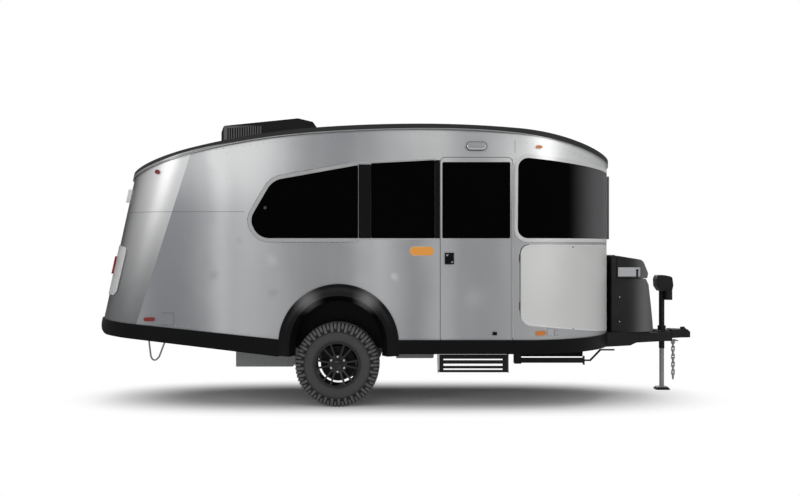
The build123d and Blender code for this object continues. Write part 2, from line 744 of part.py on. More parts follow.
step_tread = box(tread_x0, tread_x1, -step_y + 10, -step_y + 40, step_bottom_z + 4, tread_top_z)
hole = Pos((step_x0 + step_x1) / 2, pin_y, pin_z) * Rot(0, 90, 0) * Cylinder(5.4, step_x1 - step_x0)
hole_ends = box(tread_x0 - 5, tread_x0 + 28, -step_y, 0, 0, tread_top_z) + box(tread_x1 - 28, tread_x1 + 5, -step_y, 0, 0, tread_top_z)
step_tread = step_tread - (hole & hole_ends)
for low, high in tread_slots:
    step_tread = step_tread - box(tread_x0 + 40, tread_x1 - 40, -step_y, 0, low, high)
save("step_tread", step_tread)

# ---------------------------------------------------------------- stabiliser legs
leg_width = 50.0
leg_y = 655.0


def stabiliser(x, z, reach, tilt):
    """Folded drop leg: a channel with a pad, hinged at (x, z) and pointing along +x before the tilt."""
    channel = box(x - 22, x + reach, -leg_width / 2, leg_width / 2, z - 22, z + 22)
    channel = channel - box(x - 30, x + reach - 10, -leg_width / 2 + 4, leg_width / 2 - 4, z - 18, z + 30)
    pad = box(x + reach, x + reach + 8, -28, 28, z - 42, z + 42)
    return turned(channel + pad, x, z, tilt)


def stabiliser_mount(x, z, top):
    cheeks = box(x - 34, x + 34, -leg_width / 2 - 8, -leg_width / 2 - 3, z - 30, top)
    cheeks = cheeks + box(x - 34, x + 34, leg_width / 2 + 3, leg_width / 2 + 8, z - 30, top)
    cheeks = cheeks + box(x - 34, x + 34, -leg_width / 2 - 8, leg_width / 2 + 8, top - 8, top)
    return cheeks + rod_y(x, z, 8, -leg_width / 2 - 8, leg_width / 2 + 8)


# screw-drive bar of a front leg: it runs forward beside the leg and kinks up under the nose
drive_bar = outline(
    [(1060, 381), (1778, 377), (1878, 480), (2010, 480), (2010, 494), (1868, 494), (1770, 392), (1060, 396)]
)
bar_y = leg_y - leg_width / 2 - 8

front_leg = Pos(0, -leg_y, 0) * (stabiliser(front_leg_x, front_leg_z, 640, 0) - rod_y(front_leg_x, front_leg_z, 9, -40, 40))
rear_leg = stabiliser(0, 0, 600, 0) - rod_y(0, 0, 9, -40, 40)
rear_leg = Pos(rear_leg_x, -leg_y, rear_leg_z) * Rot(0, 0, 180) * rear_leg
rear_leg = turned(rear_leg, rear_leg_x, rear_leg_z, -rear_leg_tilt)
save("stabiliser_front_right", front_leg)
save("stabiliser_front_left", mirrored(front_leg))
save("stabiliser_rear_right", rear_leg)
save("stabiliser_rear_left", mirrored(rear_leg))
front_mount = Pos(0, -leg_y, 0) * stabiliser_mount(front_leg_x, front_leg_z, rail_top(front_leg_x) - 60)
front_mount = front_mount + across(drive_bar, -bar_y - 2, -bar_y + 12)
rear_mount = Pos(0, -leg_y, 0) * stabiliser_mount(rear_leg_x, rear_leg_z, rail_top(rear_leg_x) - 60)
save("stabiliser_mounts", front_mount, rear_mount, mirrored(front_mount), mirrored(rear_mount))

# ---------------------------------------------------------------- safety chains and tail loop
link_wire = 9.0
link_length = 58.0
link_width = 36.0
link_count = 9
chain_places = [(tongue_end_x + 23.0, -46.0), (tongue_end_x + 55.0, 46.0)]


def chain_link():
    """One link lying in the x-z plane, a flat-sided ring with cut corners, centred on the origin."""
    half, end = link_width / 2, link_length / 2
    cut = link_width * 0.3
    corners = [(half, cut - end), (half, end - cut), (half - cut, end), (cut - half, end)]
    outside = outline(corners + [(-x, -z) for x, z in corners])
    eye = outline([(half - link_wire, link_wire - end), (half - link_wire, end - link_wire),
                   (link_wire - half, end - link_wire), (link_wire - half, link_wire - end)])
    return across(outside - eye, -link_wire / 2, link_wire / 2)


link = chain_link()
link_pitch = link_length - 2 * link_wire + 1
chain_top_z = rail_bottom_z + 12 - seat
chains = box(tongue_end_x - 50, tongue_end_x + 78, -60, 60, chain_top_z - 8, chain_top_z)
for x, y in chain_places:
    chains = chains + box(x - 20, x + 20, y - 4, y + 4, chain_top_z - 36, chain_top_z)
    for number in range(link_count):
        z = chain_top_z - 32 - link_length / 2 + link_wire - number * link_pitch
        chains = chains + Pos(x, y, z) * Rot(0, 0, 90 * ((number + 1) % 2)) * link
save("safety_chains", chains)

loop_y = rail_y
loop_outer = [(-2556, 640), (-2530, 420), (-2514, 388), (-2494, 375), (-2468, 378), (-2436, 408), (-2343, 655)]
loop_inner = [(-2357, 655), (-2448, 418), (-2474, 392), (-2490, 388), (-2504, 397), (-2517, 424), (-2543, 640)]
tail_loop = across(outline(loop_outer + loop_inner), -loop_y - 6, -loop_y + 6) - across(
    outline([(-2600, rail_top(-2600) - rail_depth - seat), (-2300, rail_top(-2300) - rail_depth - seat), (-2300, 800), (-2600, 800)]),
    -rail_outer,
    -rail_inner,
)
save("tail_loop", tail_loop)

# ---------------------------------------------------------------- roof unit
ac_side = outline([(-1893, 2380), (-1893, 2640), (-1858, 2712), (-1110, 2788), (-960, 2752), (-909, 2680), (-909, 2500)], [0, 25, 25, 60, 35, 25, 0])
ac_plan = outline([(-1893, -350), (-909, -350), (-909, 350), (-1893, 350)], 55.0)
air_conditioner = (across(ac_side, -350, 350) & upward(ac_plan, 2300, 2850)) - roof_region(roof_skin_drop - seat)
for slot in range(14):
    x = -1822 + slot * 24
    air_conditioner = air_conditioner - box(x, x + 13, -360, -330, 2562 + slot * 2, 2688 + slot * 2)
    air_conditioner = air_conditioner - box(x, x + 13, 330, 360, 2562 + slot * 2, 2688 + slot * 2)
save("air_conditioner", air_conditioner)

# ---------------------------------------------------------------- gas locker on the A-frame
locker_wall = 10.0
locker_plan = outline([(2055, -320), (2300, -320), (2510, -250), (2510, 250), (2300, 320), (2055, 320)], [10, 60, 60, 60, 60, 10])
locker_side = outline(
    [(2055, rail_top_z + seat), (2507, rail_top_z + seat), (2448, 1106), (2418, 1168), (2105, 1168), (2105, 1404), (2055, 1404)],
    [0, 8, 30, 20, 0, 6, 6],
)
locker_inside = outline(
    [(2105, rail_top_z + 12), (2494, rail_top_z + 12), (2436, 1104), (2408, 1155), (2408, 1180), (2105, 1180)], 4.0
)
locker = across(locker_side, -330, 330) & upward(locker_plan, 600, 1450)
lid_hinge = (2107.5, 1404.0)
locker = locker + rod_y(lid_hinge[0], lid_hinge[1], 5, -240, 240)
locker = locker - (across(locker_inside, -330, 330) & upward(grown(locker_plan, -locker_wall), 600, 1450))
save("gas_locker", locker)
lid_side = outline([(2110, 1173), (2432, 1173), (2444, 1222), (2384, 1358), (2110, 1403)], [0, 4, 50, 70, 6])
lid_inside = outline([(2120, 1160), (2422, 1160), (2433, 1220), (2376, 1348), (2120, 1391)], [0, 0, 40, 60, 4])
locker_lid = across(lid_side, -330, 330) & upward(locker_plan, 1100, 1450)
locker_lid = locker_lid - (across(lid_inside, -330, 330) & upward(grown(locker_plan, -locker_wall), 1100, 1450))
locker_lid = locker_lid - rod_y(lid_hinge[0], lid_hinge[1], 5.4, -330, 330)
save("gas_locker_lid", locker_lid)

# ---------------------------------------------------------------- lamps and small fittings


def patch(face, hand, proud, depth=600):
    """Thin fitting seated on the shell's side, following its curve."""
    return skin(-proud, -seat) & side_cut(face, hand, depth)


def oval(x, z, width, height):
    return Pos(x, z) * RectangleRounded(width, height, min(width, height) * 0.49)


def cut_corners(x, z, width, height):
    """Small lamp outline with its corners cut off."""
    w, h = width / 2, height / 2
    cut = min(w, h) * 0.6
    corners = [(w, h - cut), (w - cut, h), (cut - w, h), (-w, h - cut), (-w, cut - h), (cut - w, -h), (w - cut, -h), (w, cut - h)]
    return Pos(x, z) * outline(corners)


tail_housing_face = outline(
    [(-3200, 1040), (-2775, 1040), (-2735, 1075), (-2652, 1440), (-2654, 1478), (-2690, 1492), (-3200, 1560)]
)
tail_housing = patch(tail_housing_face, -1, 8) & box(-3200, -2500, -1000, -560, 900, 1600)
save("tail_lamp_housings", tail_housing, mirrored(tail_housing))
lens_face = outline([(-2960, 1400), (-2700, 1400), (-2700, 1235), (-2960, 1235)], 0.0)
lens = (skin(-24, -8 - seat) & side_cut(lens_face, -1, 600)) & box(-3200, -2500, -780, -600, 1200, 1450)
save("tail_lamp_lenses", lens, mirrored(lens))
work_lamp = skin(-34, -seat) & box(-3200, -2300, -700, -560, 1925, 2045)
save("tail_work_lamps", work_lamp, mirrored(work_lamp))
amber = [patch(cut_corners(1205, 2415, 60, 28), -1, 14), patch(cut_corners(1222, 692, 95, 42), -1, 14)]
red = [patch(cut_corners(-2342, 2190, 44, 40), -1, 14), patch(cut_corners(-2397, 822, 100, 34), -1, 14)]
save("marker_lamps_amber", *amber, *[mirrored(lamp) for lamp in amber])
save("marker_lamps_red", *red, *[mirrored(lamp) for lamp in red])
save("porch_lamp", patch(oval(625, 2422, 185, 74), -1, 26))
save("amber_plate", patch(oval(122, 1451.5, 218, 79), -1, 3))
inlets = [
    patch(outline([(-2284, 880), (-2172, 868), (-2172, 768), (-2284, 780)]), -1, 6),
    patch(outline([(1284, 668), (1340, 668), (1340, 728), (1284, 728)]), -1, 7),
    patch(cut_corners(1372, 692, 30, 50), -1, 7),
]
save("utility_inlets", *inlets)
catch = across(outline([(774, 676), (812, 676), (812, 704), (774, 704)]), -half_width - 20, -half_width - seat)
save("door_holdback", catch)
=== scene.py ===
"""Travel caravan with a riveted aluminium shell, dressed in the order in which it is put together."""

from math import cos, pi, sin

import bpy
import numpy
from mathutils import Matrix, Vector


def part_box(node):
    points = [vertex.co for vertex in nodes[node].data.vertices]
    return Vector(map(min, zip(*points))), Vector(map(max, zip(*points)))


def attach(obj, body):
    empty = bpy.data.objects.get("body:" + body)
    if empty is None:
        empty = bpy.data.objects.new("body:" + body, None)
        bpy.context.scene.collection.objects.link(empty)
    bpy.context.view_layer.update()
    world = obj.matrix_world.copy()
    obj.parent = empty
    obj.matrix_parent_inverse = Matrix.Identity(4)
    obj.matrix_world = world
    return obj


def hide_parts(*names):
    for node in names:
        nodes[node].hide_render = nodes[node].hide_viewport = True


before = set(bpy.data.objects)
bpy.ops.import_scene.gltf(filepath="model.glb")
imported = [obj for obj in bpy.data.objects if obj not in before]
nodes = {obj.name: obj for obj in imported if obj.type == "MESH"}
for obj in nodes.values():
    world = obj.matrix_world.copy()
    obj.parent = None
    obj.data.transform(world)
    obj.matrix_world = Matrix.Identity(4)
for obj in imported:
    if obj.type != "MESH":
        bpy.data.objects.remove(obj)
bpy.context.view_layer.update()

# -------------------------------- camera
# A level camera stands square to the entry side at standing height, far enough off for the whole
# caravan, a little behind its middle. The view is symmetrical, so it needs no shift.
view_x, view_y, view_z = -0.082, -8.75, 1.48
bpy.ops.object.camera_add(location=(view_x, view_y, view_z), rotation=(pi / 2, 0, 0))
camera = bpy.context.object
camera.name = "studio_camera"
camera.data.lens = 37.5
camera.data.sensor_width = 36.0
camera.data.clip_end = 200.0
bpy.context.scene.camera = camera
bpy.context.scene.view_settings.view_transform = "Standard"


# -------------------------------- studio
# The studio is a white floor that fades into a white surround. The surround lights softly from all
# sides, and soft boxes hang above the roof and stand off the tail, the nose and the far side.
class Signal:
    """One output socket, with operators that add the Math nodes for value arithmetic."""

    def __init__(self, tree, socket):
        self.tree = tree
        self.socket = socket

    def _math(self, operation, *values):
        node = self.tree.nodes.new("ShaderNodeMath")
        node.operation = operation
        for slot, value in zip(node.inputs, values):
            if isinstance(value, Signal):
                self.tree.links.new(value.socket, slot)
            else:
                slot.default_value = value
        return Signal(self.tree, node.outputs[0])

    def __add__(self, other):
        return self._math("ADD", self, other)

    def __radd__(self, other):
        return self._math("ADD", other, self)

    def __sub__(self, other):
        return self._math("SUBTRACT", self, other)

    def __rsub__(self, other):
        return self._math("SUBTRACT", other, self)

    def __mul__(self, other):
        return self._math("MULTIPLY", self, other)

    def __rmul__(self, other):
        return self._math("MULTIPLY", other, self)

    def __truediv__(self, other):
        return self._math("DIVIDE", self, other)

    def __rtruediv__(self, other):
        return self._math("DIVIDE", other, self)

    def __neg__(self):
        return self._math("MULTIPLY", self, -1.0)

    def __pow__(self, other):
        return self._math("POWER", self, other)

    def at_least(self, other):
        return self._math("MAXIMUM", self, other)

    def at_most(self, other):
        return self._math("MINIMUM", self, other)

    def distance(self):
        """How far the value is from 0."""
        return self._math("ABSOLUTE", self)

    def wave(self):
        return self._math("SINE", self)

    def ease(self, low, high):
        """0 below low, 1 above high, smooth between."""
        node = self.tree.nodes.new("ShaderNodeMapRange")
        node.interpolation_type = "SMOOTHSTEP"
        self.tree.links.new(self.socket, node.inputs["Value"])
        node.inputs["From Min"].default_value = low
        node.inputs["From Max"].default_value = high
        return Signal(self.tree, node.outputs["Result"])


class Network:
    """A node tree of a finish, the floor or the surround."""

    def __init__(self, tree):
        self.tree = tree

    def node(self, kind, settings=None, inputs=None, output=0):
        """Add a node, set its settings first, then the values or links of its inputs."""
        made = self.tree.nodes.new(kind)
        for key, value in (settings or {}).items():
            setattr(made, key, value)
        for key, value in (inputs or {}).items():
            if isinstance(value, Signal):
                self.tree.links.new(value.socket, made.inputs[key])
            else:
                made.inputs[key].default_value = value
        return Signal(self.tree, made.outputs[output]) if made.outputs else None

    def outputs(self, signal, *names):
        """Other outputs of the node that a signal comes from."""
        return [Signal(self.tree, signal.socket.node.outputs[name]) for name in names]

    def place(self):
        return self.node("ShaderNodeTexCoord", output="Object")

    def parts(self, vector):
        """The x, y and z parts of a vector."""
        return self.outputs(self.node("ShaderNodeSeparateXYZ", inputs={0: vector}), 0, 1, 2)

    def rays(self):
        """Flags for rays from the camera, off a glossy surface and through a clear one."""
        path = self.node("ShaderNodeLightPath")
        return self.outputs(path, "Is Camera Ray", "Is Glossy Ray", "Is Transmission Ray")

    def noise(self, vector, scale, detail, stretch=None):
        """Soft noise, squeezed along the axes where stretch is above 1."""
        if stretch:
            vector = self.node("ShaderNodeMapping", inputs={"Vector": vector, "Scale": stretch})
        inputs = {"Vector": vector, "Scale": scale, "Detail": detail}
        return self.node("ShaderNodeTexNoise", inputs=inputs)

    def blend(self, factor, first, second):
        """Mix two colours; factor 0 gives the first."""
        colours = [(*c, 1.0) if isinstance(c, tuple) else c for c in (first, second)]
        inputs = {0: factor, 6: colours[0], 7: colours[1]}
        return self.node("ShaderNodeMix", {"data_type": "RGBA"}, inputs, output=2)


class Finish(Network):
    """A surface finish on the Principled shader; its sockets are set by name."""

    def __init__(self, name, slot=None, **constants):
        self.slot = slot
        self.material = bpy.data.materials.new(name)
        self.material.use_nodes = True
        super().__init__(self.material.node_tree)
        self.shader = self.tree.nodes["Principled BSDF"]
        for key, value in constants.items():
            self.shader.inputs[key.replace("_", " ")].default_value = value

    def drive(self, socket, signal):
        self.tree.links.new(signal.socket, self.shader.inputs[socket])

    def relief(self, height, distance, strength):
        inputs = {"Height": height, "Distance": distance, "Strength": strength}
        self.drive("Normal", self.node("ShaderNodeBump", inputs=inputs))

    def on(self, *names):
        """Put the finish on CAD nodes or on finished pieces."""
        for name in names:
            target = nodes[name] if isinstance(name, str) else name
            target.data.materials.clear()
            target.data.materials.append(self.material)


floor_half = 40.0
shadow_x, shadow_y = -0.1, -0.43
shadow_long, shadow_deep = 3.0, 0.88
shadow_core, shadow_end = 0.42, 1.25
mirrored_floor = 0.5
matt_white, full_white = (0.78, 0.78, 0.78, 1.0), (1.0, 1.0, 1.0, 1.0)
bpy.ops.mesh.primitive_plane_add(size=2 * floor_half, location=(0, 0, 0))
floor = bpy.context.object
floor.name = "studio_floor"
floor_paint = bpy.data.materials.new("floor_white")
floor_paint.use_nodes = True
net = Network(floor_paint.node_tree)
net.tree.nodes.clear()
x, y, _ = net.parts(net.place())
along = ((x - shadow_x) / shadow_long).distance() ** 4.0
across = ((y - shadow_y) / shadow_deep).distance() ** 2.0
away = ((along + across) ** 0.5).ease(shadow_core, shadow_end)
seen, mirrored_ray, passed_ray = net.rays()
direct = seen.at_least(passed_ray)
brightness = direct + (1.0 - direct) * mirrored_floor
matt = net.node("ShaderNodeBsdfDiffuse", inputs={"Color": matt_white})
glow = net.node("ShaderNodeEmission", inputs={"Color": full_white, "Strength": brightness})
fade = away * direct.at_least(mirrored_ray)
surface = net.node("ShaderNodeMixShader", inputs={0: fade, 1: matt, 2: glow})
net.node("ShaderNodeOutputMaterial", inputs={"Surface": surface})
floor.data.materials.append(floor_paint)

world = bpy.data.worlds.new("studio_surround")
bpy.context.scene.world = world
world.use_nodes = True
net = Network(world.node_tree)
net.tree.nodes.clear()
seen, mirrored_ray, passed_ray = net.rays()
towards_x, towards_y, towards_z = net.parts(net.node("ShaderNodeTexCoord", output="Generated"))
ambient = 0.5
black_flag = towards_y.ease(0.2, 0.8) * (-towards_x).ease(0.12, 0.4) * (1.0 - towards_z.ease(0.2, 0.5))
mirrored_level = (0.23 + 0.74 * towards_z.ease(0.03, 0.6)) * (1.0 - 0.85 * black_flag)
direct = seen.at_least(passed_ray)
indirect = mirrored_ray * mirrored_level + (1.0 - mirrored_ray) * ambient
strength = direct + (1.0 - direct) * indirect
surround = net.node("ShaderNodeBackground", inputs={"Color": full_white, "Strength": strength})
net.node("ShaderNodeOutputWorld", inputs={"Surface": surround})

soft_boxes = [
    # name, place, aim, width, height, power
    ("soft_box_above", (0.0, 0.9, 6.5), (0.0, 0.0, 1.5), 7.0, 4.0, 420.0),
    ("soft_box_tail", (-6.5, -5.5, 4.6), (-2.4, -0.4, 1.7), 2.4, 3.0, 60.0),
    ("soft_box_far", (0.0, 6.0, 4.6), (0.0, 0.5, 1.0), 6.0, 2.5, 220.0),
    ("soft_box_nose", (5.2, -6.4, 3.7), (1.6, -0.9, 2.4), 2.6, 0.9, 46.0),
    ("soft_box_streak", (-3.5, -8.2, 3.1), (-1.8, -1.0, 2.2), 0.7, 0.7, 12.0),
]
for name, place, aim, width, height, power in soft_boxes:
    bpy.ops.object.light_add(type="AREA", location=place)
    lamp = bpy.context.object
    lamp.name = name
    lamp.data.shape = "RECTANGLE"
    lamp.data.size = width
    lamp.data.size_y = height
    lamp.data.energy = power
    lamp.visible_camera = False
    lamp.rotation_euler = (Vector(aim) - Vector(place)).to_track_quat("-Z", "Y").to_euler()

# -------------------------------- shell panels
# The skins are sheet aluminium with a satin clear coat, rolled flat on the sides and bent round the
# nose and the tail corners. They are riveted to hoops, and the sheet stays a little wavy. Their colour
# carries painted light: upright bands of painted reflection, a paler upper part as painted highlight,
# and painted highlight and shade at the dents.
def swelling(signal, centre, reach):
    """1 at centre, fading to 0 at reach on both sides."""
    return 1.0 - (signal - centre).distance().ease(0.0, reach)


shell_dark = (0.35, 0.36, 0.38)
shell_pale = (0.95, 0.955, 0.96)
skin_finish = Finish("shell_skin", Metallic=0.9, Roughness=0.38)
vector = skin_finish.place()
x, _, z = skin_finish.parts(vector)
streaks = skin_finish.noise(vector, 1.5, 2.0, (1.6, 1.6, 0.22))
clouds = skin_finish.noise(vector, 2.2, 3.0)
grain = skin_finish.noise(vector, 6.0, 2.0, (4.0, 4.0, 260.0))
waviness = 0.16
drift = x + (clouds - 0.5) * waviness
# Painted highlight: the upper part of the sheets is painted paler, and the painted reflection bands change
# strength with it.
upper = z.ease(1.7, 2.35)
tone = 0.22 + upper * 0.22 + (streaks - 0.5) * 0.4
reflection_bands = [
    # centre of a band of painted reflection where the sheet bows out, its reach, its strength low down and
    # high up
    (-1.5, 0.58, 0.36, 0.66),
    (-1.75, 0.14, 0.14, 0.3),
    (-0.3, 0.36, 0.48, 0.1),
    (0.29, 0.22, 0.24, 0.1),
    (0.1, 0.5, 0.0, 0.26),
    (-0.62, 0.7, 0.0, -0.26),
    (1.45, 0.9, 0.24, 0.9),
    (-2.25, 0.4, -0.3, 0.1),
]
for centre, reach, low, high in reflection_bands:
    tone = tone + swelling(drift, centre, reach) * (low + upper * (high - low))
dimples = [
    # centre x and z of a dimple in the side sheets, its reach, its strength: painted highlight above 0,
    # painted shade below 0, and its bump
    (-0.138, 1.215, 0.055, 0.34),
    (-1.79, 1.225, 0.07, -0.15),
    (-1.27, 1.065, 0.06, -0.13),
    (-1.25, 1.37, 0.09, 0.14),
    (-1.57, 1.55, 0.05, -0.1),
    (0.62, 1.02, 0.16, 0.12),
]
dent_bump_and_painted_light = 0.0
for centre_x, centre_z, reach, strength in dimples:
    dent_bump_and_painted_light = dent_bump_and_painted_light + swelling(drift, centre_x, reach) * swelling(z, centre_z, reach) * strength
# The dents add painted highlights and painted shade to the colour.
tone = tone + dent_bump_and_painted_light
colour = skin_finish.blend(tone.ease(-0.15, 1.15), shell_dark, shell_pale)
skin_finish.drive("Base Color", colour)
skin_finish.drive("Roughness", 0.33 + clouds * 0.14 + grain * 0.05)
skin_finish.relief(clouds * 0.9 + streaks * 0.6 + grain * 0.012 + dent_bump_and_painted_light * 0.5, 0.008, 0.35)
skin_finish.on("side_wall_right", "side_wall_left", "front_wall", "door_leaf", "utility_inlets")

tail_finish = Finish("tail_skin", Metallic=0.9, Roughness=0.36)
vector = tail_finish.place()
_, y, z = tail_finish.parts(vector)
clouds = tail_finish.noise(vector, 2.0, 3.0)
grain = tail_finish.noise(vector, 6.0, 2.0, (4.0, 4.0, 260.0))
# Painted reflection: the tail corners run from dark towards the rear to pale at the side crease and higher
# up. The middle round the hatch is lighter.
edge = y.distance().ease(0.68, 1.03)
hatch = 1.0 - y.distance().ease(0.3, 0.62)
height = z.ease(0.7, 2.3)
tone = edge * (0.16 + height * 0.74) + hatch * 0.4 + (clouds - 0.5) * waviness
tail_dark, tail_pale = (0.17, 0.175, 0.185), (0.93, 0.93, 0.93)
tail_finish.drive("Base Color", tail_finish.blend(tone, tail_dark, tail_pale))
tail_finish.drive("Roughness", 0.32 + clouds * 0.12 + grain * 0.05)
tail_finish.relief(clouds * 0.9 + grain * 0.012, 0.006, 0.35)
tail_finish.on("rear_wall", "hatch_leaf")

roof_finish = Finish("roof_skin", Metallic=0.0, Roughness=0.5)
vector = roof_finish.place()
clouds = roof_finish.noise(vector, 3.0, 4.0)
roof_finish.drive("Base Color", roof_finish.blend(clouds, (0.3, 0.305, 0.31), (0.38, 0.385, 0.39)))
roof_finish.drive("Roughness", 0.42 + clouds * 0.2)
roof_finish.relief(roof_finish.noise(vector, 60.0, 2.0), 0.0015, 0.3)
roof_finish.on("roof_panel")

# -------------------------------- rivets and seams
# Aluminium rivets with low domed heads hold the sheets to the hoops and frames, in rows along every
# edge. Where two sheets lap, and round flush covers, a thin bead of grey sealant runs along the joint.
rivet_radius, rivet_flatness = 0.0042, 0.5
far_off = 4.0
sides = ((-1, "right"), (1, "left"))
bpy.ops.mesh.primitive_uv_sphere_add(segments=8, ring_count=6, radius=rivet_radius)
rivet = bpy.context.object
bpy.ops.object.mode_set(mode="EDIT")
bpy.ops.mesh.bisect(plane_co=(0, 0, 0), plane_no=(0, 0, 1), use_fill=True, clear_inner=True)
bpy.ops.mesh.select_all(action="SELECT")
bpy.ops.transform.resize(value=(1.0, 1.0, rivet_flatness))
bpy.ops.object.mode_set(mode="OBJECT")


def outer_spot(name, x, z, hand):
    """Point and outward normal where a level line from the side meets a CAD node."""
    start = Vector((x, far_off * hand, z))
    hit, spot, normal, _ = nodes[name].ray_cast(start, Vector((0.0, -hand, 0.0)))
    return (spot, normal) if hit else None


def outer_spots(name, places, hand):
    """The spots of all (x, z) places where the node is met."""
    found = [outer_spot(name, x, z, hand) for x, z in places]
    return [spot for spot in found if spot]


def outer_line(name, places, hand):
    """The points of the spots, for a bead."""
    return [spot for spot, _ in outer_spots(name, places, hand)]


def placed(master, name, place):
    """A copy of master with its own mesh, stood at a 4 x 4 place."""
    made = bpy.data.objects.new(name, master.data.copy())
    bpy.context.collection.objects.link(made)
    made.matrix_world = place
    return made


def joined(pieces, name):
    """Join the pieces to the last of them, which gets the name."""
    bpy.ops.object.select_all(action="DESELECT")
    for piece in pieces:
        piece.select_set(True)
    bpy.context.view_layer.objects.active = pieces[-1]
    bpy.ops.object.join()
    made = bpy.context.object
    made.name = name
    return made


def copies(master, name, places):
    """Copy master to every (spot, direction of its z axis) and join the copies to one piece."""
    pieces = []
    for spot, normal in places:
        turn = normal.to_track_quat("Z", "Y").to_matrix().to_4x4()
        pieces.append(placed(master, name, Matrix.Translation(spot) @ turn))
    made = joined(pieces, name)
    bpy.ops.object.transform_apply()
    return made


def row(points, pitch):
    """Evenly spaced (x, z) places along a run of straight lines."""
    places = []
    for (x0, z0), (x1, z1) in zip(points, points[1:]):
        count = max(1, round(((x1 - x0) ** 2 + (z1 - z0) ** 2) ** 0.5 / pitch))
        places += [(x0 + (x1 - x0) * n / count, z0 + (z1 - z0) * n / count) for n in range(count)]
    return places + [points[-1]]


def row_places(rows):
    """The places of several rows, each with its own pitch."""
    return [place for points, pitch in rows for place in row(points, pitch)]


def mottled(name, slot, scale, colours, rough, spread, depth, stretch=None, **constants):
    """A finish whose colour, roughness and relief follow one soft noise."""
    made = Finish(name, slot, **constants)
    clouds = made.noise(made.place(), scale, 2.0, stretch)
    made.drive("Base Color", made.blend(clouds, *colours))
    made.drive("Roughness", rough + clouds * spread)
    made.relief(clouds, depth, 0.2)
    return made


rivet_metal = mottled(
    "rivet_aluminium", "shell_aluminium", scale=14.0, colours=((0.52, 0.53, 0.54), (0.7, 0.7, 0.7)),
    rough=0.25, spread=0.2, depth=0.0003, Metallic=0.9, Roughness=0.3,
)
side_rows = [
    # run of (x, z) points, pitch
    ([(-1.673, 0.78), (-1.68, 2.36)], 0.12),
    ([(-0.045, 0.78), (-0.045, 1.42)], 0.115),
    ([(-1.04, 1.215), (-0.36, 1.215)], 0.115),
    ([(-0.2, 1.215), (0.2, 1.215)], 0.115),
    ([(-2.4, 0.79), (-1.3, 0.675)], 0.06),
    ([(-0.07, 0.655), (0.27, 0.655)], 0.05),
    ([(-1.27, 2.13), (-1.006, 2.197), (-0.758, 2.24), (-0.438, 2.27), (-0.38, 2.275)], 0.035),
    ([(-1.34, 1.532), (0.26, 1.532)], 0.05),
    ([(-0.33, 2.3), (0.27, 2.332)], 0.05),
    ([(0.31, 2.352), (0.94, 2.352)], 0.045),
    ([(0.961, 2.3), (0.961, 0.67)], 0.035),
    ([(-1.9, 2.375), (-1.4, 2.44), (-0.8, 2.505), (0.0, 2.53), (0.95, 2.505)], 0.06),
]
left_rows = [([(0.31, 1.215), (0.9, 1.215)], 0.115), ([(0.31, 0.655), (0.94, 0.655)], 0.05)]
for hand, side in sides:
    rows = side_rows + (left_rows if hand > 0 else [])
    spots = outer_spots("side_wall_" + side, row_places(rows), hand)
    rivets = copies(rivet, "side_rivets_" + side, spots)
    rivet_metal.on(rivets)
    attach(rivets, "caravan")
nose_rows = [
    ([(0.991, 2.3), (0.991, 0.67)], 0.035),
    ([(1.03, 2.46), (1.45, 2.4), (1.9, 2.28)], 0.06),
    ([(1.03, 0.66), (1.5, 0.66), (1.9, 0.66)], 0.06),
]
spots = [spot for hand, _ in sides for spot in outer_spots("front_wall", row_places(nose_rows), hand)]
rivets = copies(rivet, "nose_rivets", spots)
rivet_metal.on(rivets)
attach(rivets, "caravan")
door_rows = [
    ([(0.35, 1.532), (0.92, 1.532)], 0.035),
    ([(0.42, 1.215), (0.88, 1.215)], 0.092),
    ([(0.325, 1.3), (0.325, 0.68)], 0.05),
    ([(0.325, 0.655), (0.92, 0.655)], 0.05),
    ([(0.925, 1.48), (0.925, 0.68)], 0.05),
]
rivets = copies(rivet, "door_rivets", outer_spots("door_leaf", row_places(door_rows), -1))
rivet_metal.on(rivets)
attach(rivets, "door")
tail_half, tail_pitch, tail_heights = 0.55, 0.05, (0.885, 2.12)
tail_spots = []
for n in range(round(2 * tail_half / tail_pitch) + 1):
    for z in tail_heights:
        behind = Vector((-far_off, -tail_half + tail_pitch * n, z))
        hit, spot, normal, _ = nodes["rear_wall"].ray_cast(behind, Vector((1.0, 0.0, 0.0)))
        if hit:
            tail_spots.append((spot, normal))
rivets = copies(rivet, "tail_rivets", tail_spots)
rivet_metal.on(rivets)
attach(rivets, "caravan")
bpy.data.objects.remove(rivet)

sealant = mottled(
    "grey_sealant", "edge_moulding", scale=30.0, colours=((0.12, 0.125, 0.13), (0.2, 0.205, 0.21)),
    rough=0.45, spread=0.2, depth=0.0003, Roughness=0.55,
)
smooth = bpy.ops.object.shade_smooth_by_angle


def bead(name, spots, radius, finish):
    """A round bead laid along points on the skin."""
    bpy.ops.curve.primitive_nurbs_path_add(location=(0, 0, 0))
    bpy.context.object.name = name
    curve = bpy.context.object.data
    curve.splines.clear()
    spline = curve.splines.new("POLY")
    spline.points.add(len(spots) - 1)
    for point, spot in zip(spline.points, spots):
        point.co = (*spot, 1.0)
    curve.bevel_depth = radius
    curve.bevel_resolution = 1
    curve.use_fill_caps = True
    bpy.ops.object.convert(target="MESH")
    made = bpy.context.object
    smooth(angle=0.8)
    finish.on(made)
    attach(made, "caravan")


